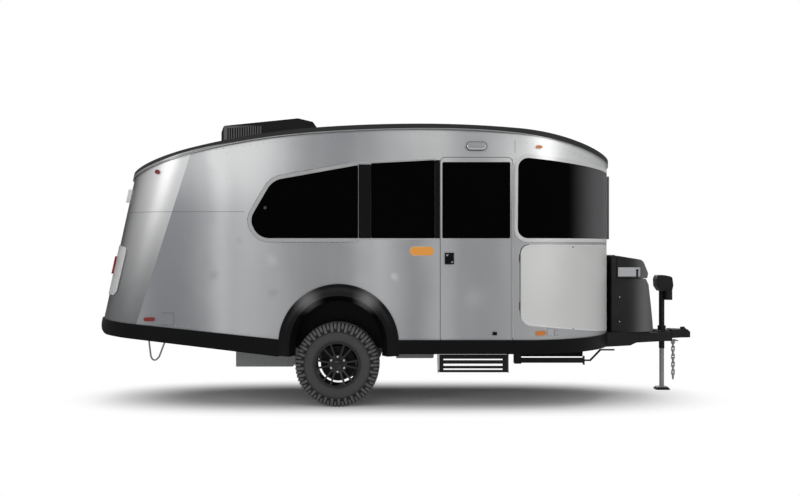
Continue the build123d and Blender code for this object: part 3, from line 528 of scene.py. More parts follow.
seam_radius, fine_seam_radius = 0.0022, 0.0018
belt_x, belt_z, front_x, front_z, seam_step = -2.24, 1.815, 0.981, 2.36, 0.02
belt_run = [(belt_x + seam_step * n, belt_z) for n in range(37)]
front_run = [(front_x, front_z + seam_step * n) for n in range(7)]
for hand, side in sides:
    bead("belt_seam_" + side, outer_line("side_wall_" + side, belt_run, hand), seam_radius, sealant)
    bead("front_seam_" + side, outer_line("front_wall", front_run, hand), fine_seam_radius, sealant)
inlet_covers = [
    # CAD node under the cover, left, right, bottom, top
    ("side_wall_right", -2.284, -2.172, 0.768, 0.88),
    ("front_wall", 1.284, 1.34, 0.668, 0.728),
    ("front_wall", 1.357, 1.387, 0.667, 0.717),
]
for number, (wall, x0, x1, z0, z1) in enumerate(inlet_covers):
    corners = [(x0, z0), (x1, z0), (x1, z1), (x0, z1), (x0, z0)]
    bead("inlet_seam_%d" % number, outer_line(wall, row(corners, seam_step), -1), seam_radius, sealant)
# Level lines towards a point inside the tail trace the same seam round it. The foremost lines miss
# the near side and meet the far one from inside, so each bead also crosses the inside and ends there.
turn_centre = Vector((-2.1, 0.0, belt_z))
half_turn, half_count, hatch_half, cast_reach = 0.62 * pi, 80, 0.66, 3.0
around = []
for n in range(-half_count, half_count + 1):
    angle = pi + n / half_count * half_turn
    away = Vector((cos(angle), sin(angle), 0.0))
    hit, spot, _, _ = nodes["rear_wall"].ray_cast(turn_centre + cast_reach * away, -away)
    if hit and abs(spot.y) > hatch_half:
        around.append((n, spot))
for hand, side in sides:
    half = [spot for n, spot in around if n * hand < 0]
    bead("tail_seam_" + side, half, seam_radius, sealant)

# -------------------------------- black mouldings and plastics
# The skirt moulding, the wheel flares, the window pillars and the handles are black plastic, moulded
# with a fine leather grain. The flares carry two painted highlights on their upper corners.
black_plastic = Finish("black_moulded_plastic", "black_moulding", Roughness=0.4, Specular_IOR_Level=0.16)
vector = black_plastic.place()
clouds = black_plastic.noise(vector, 5.0, 3.0)
colour = black_plastic.blend(clouds, (0.0016, 0.0018, 0.002), (0.0034, 0.0036, 0.004))
black_plastic.drive("Base Color", colour)
black_plastic.drive("Roughness", 0.34 + clouds * 0.14)
black_plastic.relief(black_plastic.noise(vector, 320.0, 2.0), 0.0006, 0.25)
black_plastic.on("lower_moulding", "window_pillars", "wheel_housings")
black_plastic.on("door_handle", "hatch_handle", "door_holdback")

flare_plastic = Finish("flare_plastic", Roughness=0.3, Specular_IOR_Level=0.22)
vector = flare_plastic.place()
x, _, z = flare_plastic.parts(vector)
clouds = flare_plastic.noise(vector, 5.0, 3.0)
# Two pale patches on the upper corners of the flares are painted highlights.
painted_highlight = (swelling(x, -0.94, 0.17) * 0.9 + swelling(x, -0.38, 0.16)) * swelling(z, 1.0, 0.15)
painted_highlight = painted_highlight * (0.6 + clouds * 0.6)
flare_plastic.drive("Base Color", flare_plastic.blend(painted_highlight, (0.002, 0.002, 0.0022), (0.2, 0.2, 0.205)))
flare_plastic.drive("Roughness", 0.26 + clouds * 0.12)
flare_plastic.relief(flare_plastic.noise(vector, 320.0, 2.0), 0.0004, 0.2)
flare_plastic.on("wheel_flares")

# -------------------------------- air conditioner
# The roof unit has a cover of the same plastic, screwed down over the roof opening. The faces between
# the louvre slots on both of its sides are painted pale, as painted highlight.
unit_plastic = Finish("air_conditioner_plastic", Roughness=0.45, Specular_IOR_Level=0.2)
vector = unit_plastic.place()
x, y, z = unit_plastic.parts(vector)
clouds = unit_plastic.noise(vector, 5.0, 3.0)
# Painted highlight: the outer faces between the louvre slots are painted pale; the slots stay dark.
painted_slat_highlight = x.ease(-1.89, -1.86) * (1.0 - x.ease(-1.5, -1.47))
painted_slat_highlight = painted_slat_highlight * z.ease(2.545, 2.56) * (1.0 - z.ease(2.7, 2.72))
painted_slat_highlight = painted_slat_highlight * y.distance().ease(0.343, 0.348) * (0.7 + clouds * 0.6)
unit_plastic.drive("Base Color", unit_plastic.blend(painted_slat_highlight, (0.005, 0.005, 0.0055), (0.13, 0.13, 0.135)))
unit_plastic.drive("Roughness", 0.4 + clouds * 0.14)
unit_plastic.relief(unit_plastic.noise(vector, 320.0, 2.0), 0.0006, 0.25)
unit_plastic.on("air_conditioner")

# -------------------------------- glass
# The windows are dark tinted safety glass, bonded flush into the shell. From outside they look black.
# The glass towards the nose, from the front corners on, is painted grey as a painted reflection.
glass_finish = Finish("tinted_glass", Roughness=0.04, Specular_IOR_Level=0.06)
vector = glass_finish.place()
x, y, _ = glass_finish.parts(vector)
haze = glass_finish.noise(vector, 1.2, 2.0)
film = glass_finish.blend(haze, (0.0003, 0.0003, 0.0004), (0.0008, 0.0008, 0.0009))
# Painted reflection: grey that grows towards the nose.
painted_corner_reflection = x.ease(1.48, 1.85) * (1.0 - y.distance().ease(0.9, 1.04))
glass_finish.drive("Base Color", glass_finish.blend(painted_corner_reflection, film, (0.115, 0.115, 0.12)))
glass_finish.drive("Roughness", 0.025 + haze * 0.04)
glass_finish.relief(haze, 0.0004, 0.1)
glass_finish.on("side_glass_right", "side_glass_left", "corner_glass")
glass_finish.on("nose_glass", "door_glass", "hatch_glass")

# A small grey vent button stands in the rear window on each side.
vent_plastic = mottled(
    "grey_plastic", "lamp_housing", scale=60.0, colours=((0.06, 0.06, 0.062), (0.1, 0.1, 0.102)),
    rough=0.45, spread=0.1, depth=0.0002, Roughness=0.5, Specular_IOR_Level=0.2,
)
vent_x, vent_z, vent_radius, vent_depth = -1.328, 1.852, 0.014, 0.008


def cylinder(name, place, radius, depth, vertices, lean=pi / 2):
    """A short cylinder that faces the entry side, or upwards with no lean."""
    bpy.ops.mesh.primitive_cylinder_add(
        vertices=vertices, radius=radius, depth=depth, location=place, rotation=(lean, 0, 0)
    )
    made = bpy.context.object
    made.name = name
    bpy.ops.object.transform_apply()
    return made


def bevelled(piece, width, segments=2):
    """Round the edges of a selected piece."""
    bpy.ops.object.modifier_add(type="BEVEL")
    piece.modifiers["Bevel"].width = width
    piece.modifiers["Bevel"].segments = segments
    bpy.ops.object.modifier_apply(modifier="Bevel")


for hand, side in sides:
    spot, _ = outer_spot("side_glass_" + side, vent_x, vent_z, hand)
    button = cylinder("window_vent_button_" + side, spot, vent_radius, vent_depth, 24)
    bevelled(button, 0.002)
    smooth(angle=0.7)
    vent_plastic.on(button)
    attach(button, "caravan")

# -------------------------------- bright trim
# Window frames, lamp housings, small lamps and hinges are extruded or pressed aluminium with a clear
# coat. Narrow strips lie along the sill and the head of the windows, and sealant runs round the frame.
# The trim is painted pale at the nose as painted highlight, and is pale at the tail as well.
bright_trim = Finish("bright_trim", "frame_silver", Metallic=0.45, Roughness=0.3)
vector = bright_trim.place()
x, _, _ = bright_trim.parts(vector)
clouds = bright_trim.noise(vector, 9.0, 3.0)
# Painted highlight at the nose; the trim is also paler at the tail.
nose_highlight, at_tail = x.ease(0.95, 1.0), (-x).ease(2.3, 2.4)
tone = clouds * 0.2 + (nose_highlight + at_tail) * 0.7
bright_trim.drive("Base Color", bright_trim.blend(tone, (0.5, 0.505, 0.51), (0.97, 0.97, 0.97)))
bright_trim.drive("Roughness", 0.24 + clouds * 0.14)
bright_trim.relief(bright_trim.noise(vector, 150.0, 2.0), 0.0004, 0.2)
bright_trim.on("window_frames", "door_hinge", "hatch_hinge")
bright_trim.on("tail_lamp_housings", "porch_lamp", "tail_work_lamps")
strip_runs = [
    # run of (x, z) points along the sill and the head of the window band
    ("sill", [(-0.47, 1.559), (0.25, 1.559)]),
    ("head", [(-0.46, 2.262), (-0.34, 2.276), (0.25, 2.304)]),
]
strip_pitch, strip_radius, frame_seam_radius = 0.04, 0.006, 0.0024
for hand, side in sides:
    for label, run in strip_runs:
        spots = outer_line("side_wall_" + side, row(run, strip_pitch), hand)
        bead("window_strip_" + label + "_" + side, spots, strip_radius, bright_trim)
# Rays that fan out from a point in the rear window find the outer edge of its frame.
fan_x, fan_z, frame_front, first_reach, seam_gap = -1.0, 1.85, -0.475, 0.3, 0.005
first_angle, angle_step, angle_count, reach_count = 0.74, 0.035, 143, 120
angles = [first_angle + angle_step * n for n in range(angle_count)]
reaches = [first_reach + seam_gap * n for n in range(reach_count)]
for hand, side in sides:
    spots = []
    for angle in angles:
        ray = [(fan_x + reach * cos(angle), fan_z + reach * sin(angle)) for reach in reaches]
        on_frame = [n for n, (x, z) in enumerate(ray) if outer_spot("window_frames", x, z, hand)]
        if on_frame and on_frame[-1] + 1 < len(ray):
            spots += outer_line("side_wall_" + side, [ray[on_frame[-1] + 1]], hand)
    spots = [spot for spot in spots if spot.x < frame_front]
    bead("window_frame_seam_" + side, spots, frame_seam_radius, sealant)

# -------------------------------- roof edge
# An extruded aluminium moulding clamps the roof to the walls. Its upper part and its lower lip are
# painted black as painted shade, and a groove between them half dark, which leaves one bare rib. A
# smooth line through its lower edge places the strips.
middle_strip, fit_degree = 0.3, 6
stations = {}
for vertex in nodes["roof_edge_moulding"].data.vertices:
    if abs(vertex.co.y) > middle_strip:
        station = round(vertex.co.x, 1)
        stations[station] = min(stations.get(station, vertex.co.z), vertex.co.z)
curve_fit = numpy.polyfit(list(stations), list(stations.values()), fit_degree)
roof_edge = Finish("roof_edge_extrusion", Metallic=0.85, Roughness=0.35)
vector = roof_edge.place()
x, _, z = roof_edge.parts(vector)
lower_line = float(curve_fit[0])
for factor in curve_fit[1:]:
    lower_line = lower_line * x + float(factor)
rise = z - lower_line
clouds = roof_edge.noise(vector, 7.0, 3.0)
# Painted shade: a dark line along the groove, a dark lower lip and a dark upper part.
groove_shade = swelling(rise, 0.016, 0.005)
top_strip = 0.011 + (-x).ease(1.5, 2.1) * 0.018
lip_and_top_shade = (1.0 - rise.ease(0.003, 0.007)) * 0.75 + (rise - top_strip).ease(0.0, 0.008)
black = (groove_shade * 0.5 + lip_and_top_shade).at_most(1.0)
metal = roof_edge.blend(clouds, (0.36, 0.365, 0.375), (0.52, 0.525, 0.53))
roof_edge.drive("Base Color", roof_edge.blend(black, metal, (0.012, 0.012, 0.013)))
roof_edge.drive("Metallic", (1.0 - black) * 0.85)
roof_edge.drive("Roughness", 0.3 + black * 0.25 + clouds * 0.08)
roof_edge.relief(1.0 - black, 0.003, 0.5)
roof_edge.on("roof_edge_moulding")

# -------------------------------- entry lamp and amber plate
# The entry lamp is an oval chromed bezel with a milky lens. The amber plate beside the door is a
# reflective sheet on a pale backing that shows as a thin rim.
def oval_plate(name, middle, size, rim, inner_y, outer_y):
    """A plate with round ends, rim wider and higher than size, between two y places."""
    place = (middle.x, (inner_y + outer_y) / 2, middle.z)
    made = cylinder(name, place, (size.z + rim) / 2, inner_y - outer_y, 48)
    for vertex in made.data.vertices:
        vertex.co.x += (size.x - size.z) / 2 * (1 if vertex.co.x > middle.x else -1)
    return made


def pick_faces(piece, facing):
    """Select only the faces that look along facing, in edit mode."""
    bpy.ops.object.select_all(action="DESELECT")
    piece.select_set(True)
    bpy.context.view_layer.objects.active = piece
    bpy.ops.object.mode_set(mode="EDIT")
    bpy.ops.mesh.select_mode(type="FACE")
    bpy.ops.mesh.select_all(action="DESELECT")
    bpy.ops.object.mode_set(mode="OBJECT")
    for face in piece.data.polygons:
        face.select = face.normal.dot(facing) > 0.9
    bpy.ops.object.mode_set(mode="EDIT")


def stepped(piece, facing, *steps):
    """Inset the faces that look along facing and move them outwards, once for each (inset, move)."""
    pick_faces(piece, facing)
    for inset, move in steps:
        bpy.ops.mesh.inset(thickness=inset)
        bpy.ops.transform.translate(value=tuple(move * facing))
    bpy.ops.object.mode_set(mode="OBJECT")


def extent(name):
    """The low and high corners of a node's box, its middle and its size."""
    low, high = (Vector(corner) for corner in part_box(name))
    return low, high, (low + high) / 2, high - low


outwards = Vector((0.0, -1.0, 0.0))
flutes_per_metre = 900.0
chrome = mottled(
    "lamp_chrome", "chrome", scale=40.0, colours=((0.42, 0.43, 0.44), (0.62, 0.62, 0.63)),
    rough=0.1, spread=0.12, depth=0.0002, Metallic=1.0, Roughness=0.12,
)
milky = Finish("milky_lens", "lamp_housing", Roughness=0.3)
x, _, _ = milky.parts(milky.place())
flutes = (x * flutes_per_metre).wave()
milky.drive("Base Color", milky.blend(flutes * 0.5 + 0.5, (0.3, 0.31, 0.32), (0.5, 0.51, 0.52)))
milky.drive("Roughness", 0.25 + flutes * 0.05)
milky.relief(flutes, 0.0006, 0.5)
dark_rubber = mottled(
    "gasket_rubber", "black_moulding", scale=50.0, colours=((0.012, 0.012, 0.012), (0.024, 0.024, 0.024)),
    rough=0.5, spread=0.2, depth=0.0003, Roughness=0.6, Specular_IOR_Level=0.2,
)
low, _, middle, size = extent("porch_lamp")
gasket_rim, bezel_rim, lens_rim = 0.008, -0.006, -0.034
gasket = oval_plate("entry_lamp_gasket", middle, size, gasket_rim, low.y + 0.02, low.y + 0.008)
dark_rubber.on(gasket)
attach(gasket, "caravan")
bezel = oval_plate("entry_lamp_bezel", middle, size, bezel_rim, low.y + 0.006, low.y - 0.004)
stepped(bezel, outwards, (0.009, -0.004), (0.003, -0.003))
bevelled(bezel, 0.0015)
smooth(angle=0.7)
chrome.on(bezel)
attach(bezel, "caravan")
lamp_lens = oval_plate("entry_lamp_lens", middle, size, lens_rim, low.y + 0.006, low.y - 0.001)
stepped(lamp_lens, outwards, (0.006, 0.002))
smooth(angle=0.7)
milky.on(lamp_lens)
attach(lamp_lens, "caravan")

low, high, middle, size = extent("amber_plate")
backing_finish = mottled(
    "pale_backing", "lamp_housing", scale=60.0, colours=((0.5, 0.46, 0.4), (0.66, 0.62, 0.55)),
    rough=0.4, spread=0.1, depth=0.0002, Roughness=0.45,
)
backing_rim = 0.016
backing = oval_plate("amber_plate_backing", middle, size, backing_rim, high.y, low.y + 0.0012)
stepped(backing, outwards, (0.0015, 0.0006))
backing_finish.on(backing)
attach(backing, "caravan")

# -------------------------------- door handle
# The handle is a black moulded cup with a paddle, let into the door's skin. A lock cylinder and a
# turn knob, both chromed, stand in opposite corners of the cup.
def block(name, place, size):
    """A block of a size with its middle at a place."""
    bpy.ops.mesh.primitive_cube_add(size=1.0, location=place)
    made = bpy.context.object
    made.name = name
    made.scale = size
    bpy.ops.object.transform_apply()
    return made


low, _, _, span = extent("door_handle")
paddle_place = (low.x + span.x * 0.56, low.y - 0.004, low.z + span.z * 0.56)
paddle = block("door_paddle", paddle_place, (span.x * 0.62, 0.016, span.z * 0.44))
stepped(paddle, outwards, (0.006, 0.004))
bevelled(paddle, 0.004, 3)
smooth(angle=0.6)
black_plastic.on(paddle)
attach(paddle, "door")
round_parts = [
    # name, its place as shares of the handle's width and height, radius
    ("door_lock_cylinder", 0.8, 0.2, 0.0085),
    ("door_turn_knob", 0.28, 0.8, 0.0105),
]
knob_depth = 0.014
for name, across_part, up_part, radius in round_parts:
    place = (low.x + span.x * across_part, low.y - 0.003, low.z + span.z * up_part)
    knob = cylinder(name, place, radius, knob_depth, 24)
    stepped(knob, outwards, (radius * 0.3, -0.002))
    smooth(angle=0.6)
    chrome.on(knob)
    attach(knob, "door")

# -------------------------------- gas locker
# The gas locker on the A-frame is two black mouldings. Its lid has a bare pale plate on each side
# and is held by rubber toggles; screws with white caps fix the body to its frame. Both mouldings are
# painted paler towards their front corners, as painted reflection.
locker_plastic = Finish("gas_locker_plastic", Roughness=0.45, Specular_IOR_Level=0.3)
vector = locker_plastic.place()
x, y, _ = locker_plastic.parts(vector)
clouds = locker_plastic.noise(vector, 5.0, 3.0)
# Painted reflection: the body and lid grow pale towards their front corners.
painted_light = x.ease(2.12, 2.45) ** 3.0 * y.distance().ease(0.18, 0.4) * 0.95 + clouds * 0.05
locker_plastic.drive("Base Color", locker_plastic.blend(painted_light, (0.004, 0.004, 0.0045), (0.34, 0.34, 0.345)))
locker_plastic.drive("Roughness", 0.38 + clouds * 0.16)
locker_plastic.relief(locker_plastic.noise(vector, 300.0, 2.0), 0.0006, 0.3)
locker_plastic.on("gas_locker", "gas_locker_lid")
plate_finish = mottled(
    "bare_plate", "frame_silver", scale=5.0, colours=((0.5, 0.51, 0.53), (0.66, 0.67, 0.69)),
    rough=0.35, spread=0.12, depth=0.0003, stretch=(3.0, 3.0, 200.0), Metallic=0.7, Roughness=0.4,
)
plate_x0, plate_x1, plate_z0, plate_z1 = 2.124, 2.352, 1.192, 1.284
screw_places = [(2.034, 0.983), (2.139, 0.983), (2.034, 0.735), (2.139, 0.735)]
plate_lift, plate_thickness = 0.0005, 0.003
toggle_x, toggle_z, toggle_foot, toggle_head = 2.318, 1.212, 1.2, 0.014
toggle_size, head_spread = (0.017, 0.014, 0.072), (2.2, 1.3, 1.0)
screw_radius, screw_depth = 0.0065, 0.006
upwards = Vector((0.0, 0.0, 1.0))


def edit_whole():
    """Enter edit mode with everything selected."""
    bpy.ops.object.mode_set(mode="EDIT")
    bpy.ops.mesh.select_all(action="SELECT")


screw = cylinder("screw", (0, 0, 0), screw_radius, screw_depth, 12, 0.0)
stepped(screw, upwards, (0.0022, 0.0018))
for hand, side in sides:
    bpy.ops.mesh.primitive_grid_add(x_subdivisions=24, y_subdivisions=8, size=1.0)
    plate = bpy.context.object
    plate.name = "locker_plate_" + side
    plate.scale = (plate_x1 - plate_x0, plate_z1 - plate_z0, 1.0)
    plate.rotation_euler = (-hand * pi / 2, 0.0, 0.0)
    plate.location = ((plate_x0 + plate_x1) / 2, hand * 0.9, (plate_z0 + plate_z1) / 2)
    bpy.ops.object.transform_apply()
    for vertex in plate.data.vertices:
        found = outer_spot("gas_locker_lid", vertex.co.x, vertex.co.z, hand)
        if found:
            vertex.co.y = found[0].y + hand * plate_lift
    bpy.ops.object.modifier_add(type="SOLIDIFY")
    plate.modifiers["Solidify"].thickness = plate_thickness
    plate.modifiers["Solidify"].offset = 1.0
    bpy.ops.object.modifier_apply(modifier="Solidify")
    edit_whole()
    bpy.ops.mesh.normals_make_consistent()
    bpy.ops.object.mode_set(mode="OBJECT")
    plate_finish.on(plate)
    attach(plate, "locker_lid")
    grip, _ = outer_spot("gas_locker_lid", toggle_x, toggle_foot, hand)
    toggle_place = (toggle_x, grip.y + hand * 0.006, toggle_z)
    toggle = block("locker_toggle_" + side, toggle_place, toggle_size)
    pick_faces(toggle, upwards)
    bpy.ops.mesh.extrude_region_move(TRANSFORM_OT_translate={"value": (0.0, 0.0, toggle_head)})
    bpy.ops.transform.resize(value=head_spread)
    bpy.ops.object.mode_set(mode="OBJECT")
    bevelled(toggle, 0.0025)
    dark_rubber.on(toggle)
    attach(toggle, "locker_lid")
    screws = copies(screw, "locker_screws_" + side, outer_spots("gas_locker", screw_places, hand))
    plate_finish.on(screws)
    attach(screws, "caravan")

# -------------------------------- stone guards
# The two stone guards are sheets of plain aluminium over the lower nose corners, screwed and clipped
# on at their edges, with a flatter and warmer finish than the shell. Rubber seals their outline.
guard_finish = Finish("stone_guard_sheet", Metallic=0.75, Roughness=0.5)
vector = guard_finish.place()
clouds = guard_finish.noise(vector, 1.6, 2.0)
rolled = guard_finish.noise(vector, 8.0, 2.0, (1.0, 1.0, 90.0))
guard_finish.drive("Base Color", guard_finish.blend(clouds, (0.78, 0.78, 0.775), (0.9, 0.898, 0.89)))
guard_finish.drive("Roughness", 0.44 + clouds * 0.1 + rolled * 0.04)
guard_finish.relief(rolled, 0.0003, 0.3)
guard_finish.on("stone_guards")
guard_edges = [
    # run of (x, z) points along an edge, from the seam with the side wall round the nose
    ("upper", [(1.037, 0.9), (1.037, 1.42), (1.05, 1.468), (1.08, 1.495), (1.13, 1.504), (1.5, 1.504),
               (1.9, 1.504)]),
    ("lower", [(1.037, 0.9), (1.042, 0.85), (1.065, 0.81), (1.11, 0.78), (1.3, 0.748), (1.56, 0.72),
               (1.9, 0.675)]),
]
guard_seal = [
    (1.11, 1.512), (1.07, 1.504), (1.04, 1.475), (1.027, 1.425), (1.027, 0.9), (1.033, 0.845),
    (1.058, 0.8), (1.11, 0.77), (1.3, 0.739),
]
guard_screw_places = [(1.542, 1.488), (1.542, 0.722)]
clip_places, clip_size = [(1.019, 1.385), (1.019, 0.943)], (0.009, 0.012, 0.07)
guard_pitch, edge_radius, seal_radius = 0.03, 0.0035, 0.0032
for hand, side in sides:
    for label, run in guard_edges:
        spots = outer_line("stone_guards", row(run, guard_pitch), hand)
        bead("guard_edge_" + label + "_" + side, spots, edge_radius, bright_trim)
    spots = outer_line("front_wall", row(guard_seal, guard_pitch), hand)
    bead("guard_seal_" + side, spots, seal_radius, dark_rubber)
    spots = outer_spots("stone_guards", guard_screw_places, hand)
    screws = copies(screw, "guard_screws_" + side, spots)
    dark_rubber.on(screws)
    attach(screws, "caravan")
    clips = []
    for spot in outer_line("front_wall", clip_places, hand):
        clips.append(block("clip", spot + Vector((0.006, hand * 0.004, 0.0)), clip_size))
        bevelled(clips[-1], 0.003)
    clips = joined(clips, "guard_clips_" + side)
    dark_rubber.on(clips)
    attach(clips, "caravan")
bpy.data.objects.remove(screw)

# -------------------------------- chassis
# Rails, A-frame, coupler, step and stabilisers are welded steel, sprayed satin black. Tanks, floor
# sheet, jack leg, chains and tail loop are galvanised; black spray covers the front of the floor and
# the foot of the jack.
black_paint = Finish("chassis_black_paint", Roughness=0.45, Specular_IOR_Level=0.3)
vector = black_paint.place()
clouds = black_paint.noise(vector, 7.0, 4.0)
dust = black_paint.noise(vector, 45.0, 3.0)
black_paint.drive("Base Color", black_paint.blend(clouds, (0.004, 0.0043, 0.0046), (0.011, 0.011, 0.0115)))
black_paint.drive("Roughness", 0.38 + dust * 0.25)
black_paint.relief(dust, 0.0005, 0.25)
black_paint.on("chassis_frame", "axle_beam", "coupler", "coupler_latch", "step_frame", "step_tread")
black_paint.on("jack_outer_tube", "jack_motor_head", "stabiliser_mounts", "drum_right", "drum_left")
black_paint.on("stabiliser_front_right", "stabiliser_front_left")
black_paint.on("stabiliser_rear_right", "stabiliser_rear_left")

galvanised = Finish("galvanised_sheet", Metallic=0.8, Roughness=0.5)
vector = galvanised.place()
x, _, z = galvanised.parts(vector)
cells = {"Vector": vector, "Scale": 60.0}
spangle = galvanised.node("ShaderNodeTexVoronoi", inputs=cells, output="Distance")
zinc = galvanised.blend(spangle, (0.27, 0.275, 0.28), (0.42, 0.425, 0.43))
sprayed = x.ease(0.9, 0.95) * (1.0 - x.ease(2.3, 2.35))
sprayed = sprayed + x.ease(2.4, 2.42) * (1.0 - z.ease(0.022, 0.03))
galvanised.drive("Base Color", galvanised.blend(sprayed, zinc, (0.01, 0.01, 0.01)))
galvanised.drive("Roughness", 0.4 + spangle * 0.25)
galvanised.relief(spangle, 0.0004, 0.2)
galvanised.on("underfloor_tanks", "floor_panel", "jack_leg", "safety_chains", "tail_loop")

# -------------------------------- wheels
# Each wheel is an all-terrain tyre on a cast alloy rim, painted gloss black. The casing is spun from
# its half section; tread blocks stand on the crown and run down the shoulders. The faces of the
# blocks are painted pale as painted highlight, against dark gaps between them.
rubber = Finish("tyre_rubber", "tyre_rubber", Roughness=0.75, Specular_IOR_Level=0.35)
vector = rubber.place()
x, y, z = rubber.parts(vector)
clouds = rubber.noise(vector, 14.0, 4.0)
_, _, axle, _ = extent("tyre_right")
radius = ((x - axle.x) ** 2.0 + (z - axle.z) ** 2.0) ** 0.5
offset = (y.distance() - abs(axle.y)).distance()
shoulder_reach, crown_reach, lug_reach = 0.343, 0.387, 0.31
shoulder_offset, lug_offset, flank_slope = 0.1185, 0.1226, 0.468
past_shoulder = radius.ease(shoulder_reach, shoulder_reach + 0.003)
proud = offset - shoulder_offset + (radius - shoulder_reach) * flank_slope
proud = proud.ease(0.0015, 0.004) * past_shoulder
past_lug = radius.ease(lug_reach - 0.001, lug_reach + 0.001)
lugs = (offset - lug_offset).ease(0.0, 0.0008) * past_lug * (1.0 - past_shoulder)
crown = radius.ease(crown_reach - 0.002, crown_reach + 0.002)
# Painted highlight: the proud faces of the blocks, the lugs and the crown are painted pale.
painted_light = (proud + lugs + crown) * (0.75 + clouds * 0.5)
side_wall = 1.0 - radius.ease(0.29, 0.318)
shade = painted_light.at_least(side_wall * (0.4 + clouds * 0.2))
rubber.drive("Base Color", rubber.blend(shade, (0.012, 0.012, 0.013), (0.13, 0.13, 0.13)))
rubber.drive("Roughness", 0.66 + clouds * 0.2)
rubber.relief(rubber.noise(vector, 210.0, 3.0), 0.0008, 0.3)

casing_half = [
    # radius, distance from the middle plane, metres
    (0.205, 0.096), (0.216, 0.105), (0.229, 0.108), (0.233, 0.114), (0.262, 0.1205), (0.287, 0.1225),
    (0.29, 0.1205), (0.318, 0.1205), (0.322, 0.1225), (0.343, 0.1185), (0.36, 0.113), (0.374, 0.104),
    (0.381, 0.088), (0.3825, 0.03),
]
cavity_half = [(0.372, 0.02), (0.368, 0.085), (0.34, 0.105), (0.29, 0.112), (0.24, 0.104), (0.215, 0.093)]
shoulder_block = [
    (0.38, 0.056), (0.3915, 0.058), (0.3915, 0.094), (0.386, 0.104), (0.362, 0.1185), (0.344, 0.1236),
    (0.312, 0.1246), (0.32, 0.114), (0.35, 0.11), (0.374, 0.096),
]
short_block = [
    (0.38, 0.062), (0.3915, 0.064), (0.3915, 0.098), (0.385, 0.108), (0.365, 0.117), (0.352, 0.1212),
    (0.336, 0.1238), (0.34, 0.112), (0.36, 0.107), (0.374, 0.098),
]
crown_block = [(0.381, 0.008), (0.3915, 0.01), (0.3915, 0.047), (0.381, 0.049)]
blocks_round, spin_steps = 66, 88
tread_rings = [
    # block, its width, side of the middle plane, blocks in the ring, turn in pitches
    (shoulder_block, 0.023, 1, blocks_round // 2, 0.0), (short_block, 0.021, 1, blocks_round // 2, 0.5),
    (shoulder_block, 0.023, -1, blocks_round // 2, 0.25), (short_block, 0.021, -1, blocks_round // 2, 0.75),
    (crown_block, 0.024, 1, blocks_round, 0.35), (crown_block, 0.024, -1, blocks_round, 0.85),
]


def section_loop(name, points):
    """A closed loop of vertices with points (radius, offset) in the y-z plane, above the axle line."""
    bpy.ops.mesh.primitive_circle_add(vertices=len(points), radius=0.1, fill_type="NOTHING")
    made = bpy.context.object
    made.name = name
    for vertex, (radius, offset) in zip(made.data.vertices, points):
        vertex.co = (0.0, offset, radius)
    return made


def tread_block(points, width):
    """One block: its section, filled and given its width along the tread."""
    made = section_loop("tread_block", points)
    edit_whole()
    bpy.ops.mesh.edge_face_add()
    bpy.ops.mesh.extrude_region_move(TRANSFORM_OT_translate={"value": (width, 0.0, 0.0)})
    bpy.ops.mesh.select_all(action="SELECT")
    bpy.ops.transform.translate(value=(-width / 2, 0.0, 0.0))
    bpy.ops.mesh.normals_make_consistent()
    bpy.ops.object.mode_set(mode="OBJECT")
    return made


for _, side in sides:
    _, _, centre, _ = extent("tyre_" + side)
    outside = casing_half + [(reach, -off) for reach, off in reversed(casing_half)]
    inside = [(reach, -off) for reach, off in reversed(cavity_half)] + cavity_half
    casing = section_loop("tyre_casing_" + side, outside + inside)
    edit_whole()
    bpy.ops.mesh.spin(steps=spin_steps, angle=2 * pi, center=(0, 0, 0), axis=(0, 1, 0))
    bpy.ops.mesh.select_all(action="SELECT")
    bpy.ops.mesh.remove_doubles(threshold=0.0002)
    bpy.ops.mesh.normals_make_consistent()
    bpy.ops.object.mode_set(mode="OBJECT")
    turned = []
    for shape, width, hand, count, start in tread_rings:
        pattern = tread_block([(reach, off * hand) for reach, off in shape], width)
        for n in range(count):
            turn = Matrix.Rotation(2 * pi * (n + start) / count, 4, "Y")
            turned.append(placed(pattern, "tread_block", turn))
        bpy.data.objects.remove(pattern)
    tyre = joined(turned + [casing], "tyre_dressed_" + side)
    tyre.location = centre
    bpy.ops.object.transform_apply()
    smooth(angle=0.5)
    rubber.on(tyre)
    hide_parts("tyre_" + side)
    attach(tyre, "wheel_" + side)

rim_paint = Finish(
    "rim_gloss_black", "rim_black",
    Roughness=0.16, Specular_IOR_Level=0.5, Coat_Weight=0.3, Coat_Roughness=0.05,
)
vector = rim_paint.place()
clouds = rim_paint.noise(vector, 30.0, 3.0)
rim_paint.drive("Base Color", rim_paint.blend(clouds, (0.002, 0.002, 0.0022), (0.005, 0.005, 0.0055)))
rim_paint.drive("Roughness", 0.2 + clouds * 0.12)
rim_paint.relief(rim_paint.noise(vector, 400.0, 2.0), 0.0002, 0.15)
rim_paint.on("rim_right", "rim_left")

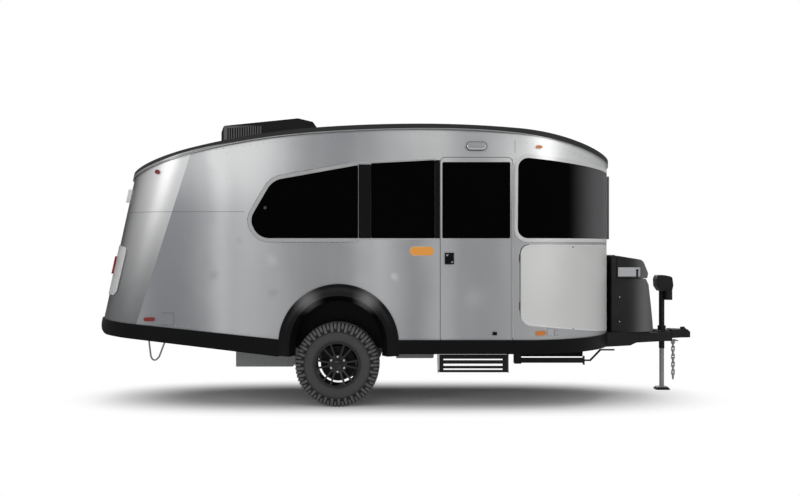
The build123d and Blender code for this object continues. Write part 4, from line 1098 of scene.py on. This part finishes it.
nut_metal = mottled(
    "wheel_nut_chrome", "chrome", scale=60.0, colours=((0.72, 0.72, 0.73), (0.9, 0.9, 0.9)),
    rough=0.1, spread=0.16, depth=0.0002, Metallic=1.0, Roughness=0.14,
)
nut_ring, nut_count, nut_radius, nut_depth = 0.1397 / 2, 6, 0.0125, 0.03
nut = cylinder("nut", (0, 0, 0), nut_radius, nut_depth, 6, 0.0)
stepped(nut, upwards, (0.0035, 0.003))
turns = [2 * pi * (n + 0.5) / nut_count for n in range(nut_count)]
for hand, side in sides:
    facing = Vector((0.0, hand, 0.0))
    places = [(axle.x + nut_ring * cos(turn), axle.z + nut_ring * sin(turn)) for turn in turns]
    spots = [(spot + facing * 0.006, facing) for spot in outer_line("rim_" + side, places, hand)]
    nuts = copies(nut, "wheel_nuts_" + side, spots)
    nut_metal.on(nuts)
    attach(nuts, "wheel_" + side)
bpy.data.objects.remove(nut)

# A round cap with a raised rim closes the middle of each hub.
cap_radius, cap_depth = 0.041, 0.03
cap = cylinder("cap", (0, 0, 0), cap_radius, cap_depth, 40, 0.0)
stepped(cap, upwards, (0.006, -0.003), (0.012, 0.006))
bevelled(cap, 0.002)
for hand, side in sides:
    spot, _ = outer_spot("rim_" + side, axle.x, axle.z, hand)
    fitted = copies(cap, "wheel_cap_" + side, [(spot, Vector((0.0, hand, 0.0)))])
    smooth(angle=0.6)
    rim_paint.on(fitted)
    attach(fitted, "wheel_" + side)
bpy.data.objects.remove(cap)

# -------------------------------- lamps
# Marker lamps and tail lamps have moulded acrylic lenses with fine prisms inside, clipped to their
# housings. The sheet of the amber plate is set with fine glass beads.
def lens(name, dark, light):
    """A finish for a lens, dark in the middle of its prisms and light between them."""
    made = Finish(name, Roughness=0.12, Coat_Weight=0.5, Coat_Roughness=0.04)
    cells = {"Vector": made.place(), "Scale": 140.0}
    prisms = made.node("ShaderNodeTexVoronoi", inputs=cells, output="Distance")
    made.drive("Base Color", made.blend(prisms, dark, light))
    made.drive("Roughness", 0.1 + prisms * 0.15)
    made.relief(prisms, 0.0008, 0.4)
    return made


lens("amber_lens", (0.55, 0.13, 0.01), (0.85, 0.3, 0.05)).on("marker_lamps_amber")
lens("red_lens", (0.12, 0.004, 0.004), (0.35, 0.015, 0.012)).on("marker_lamps_red", "tail_lamp_lenses")
amber_sheet = mottled(
    "amber_reflective_sheet", None, scale=300.0, colours=((0.98, 0.36, 0.05), (1.0, 0.46, 0.08)),
    rough=0.34, spread=0.14, depth=0.0003, Roughness=0.4,
)
amber_sheet.on("amber_plate")
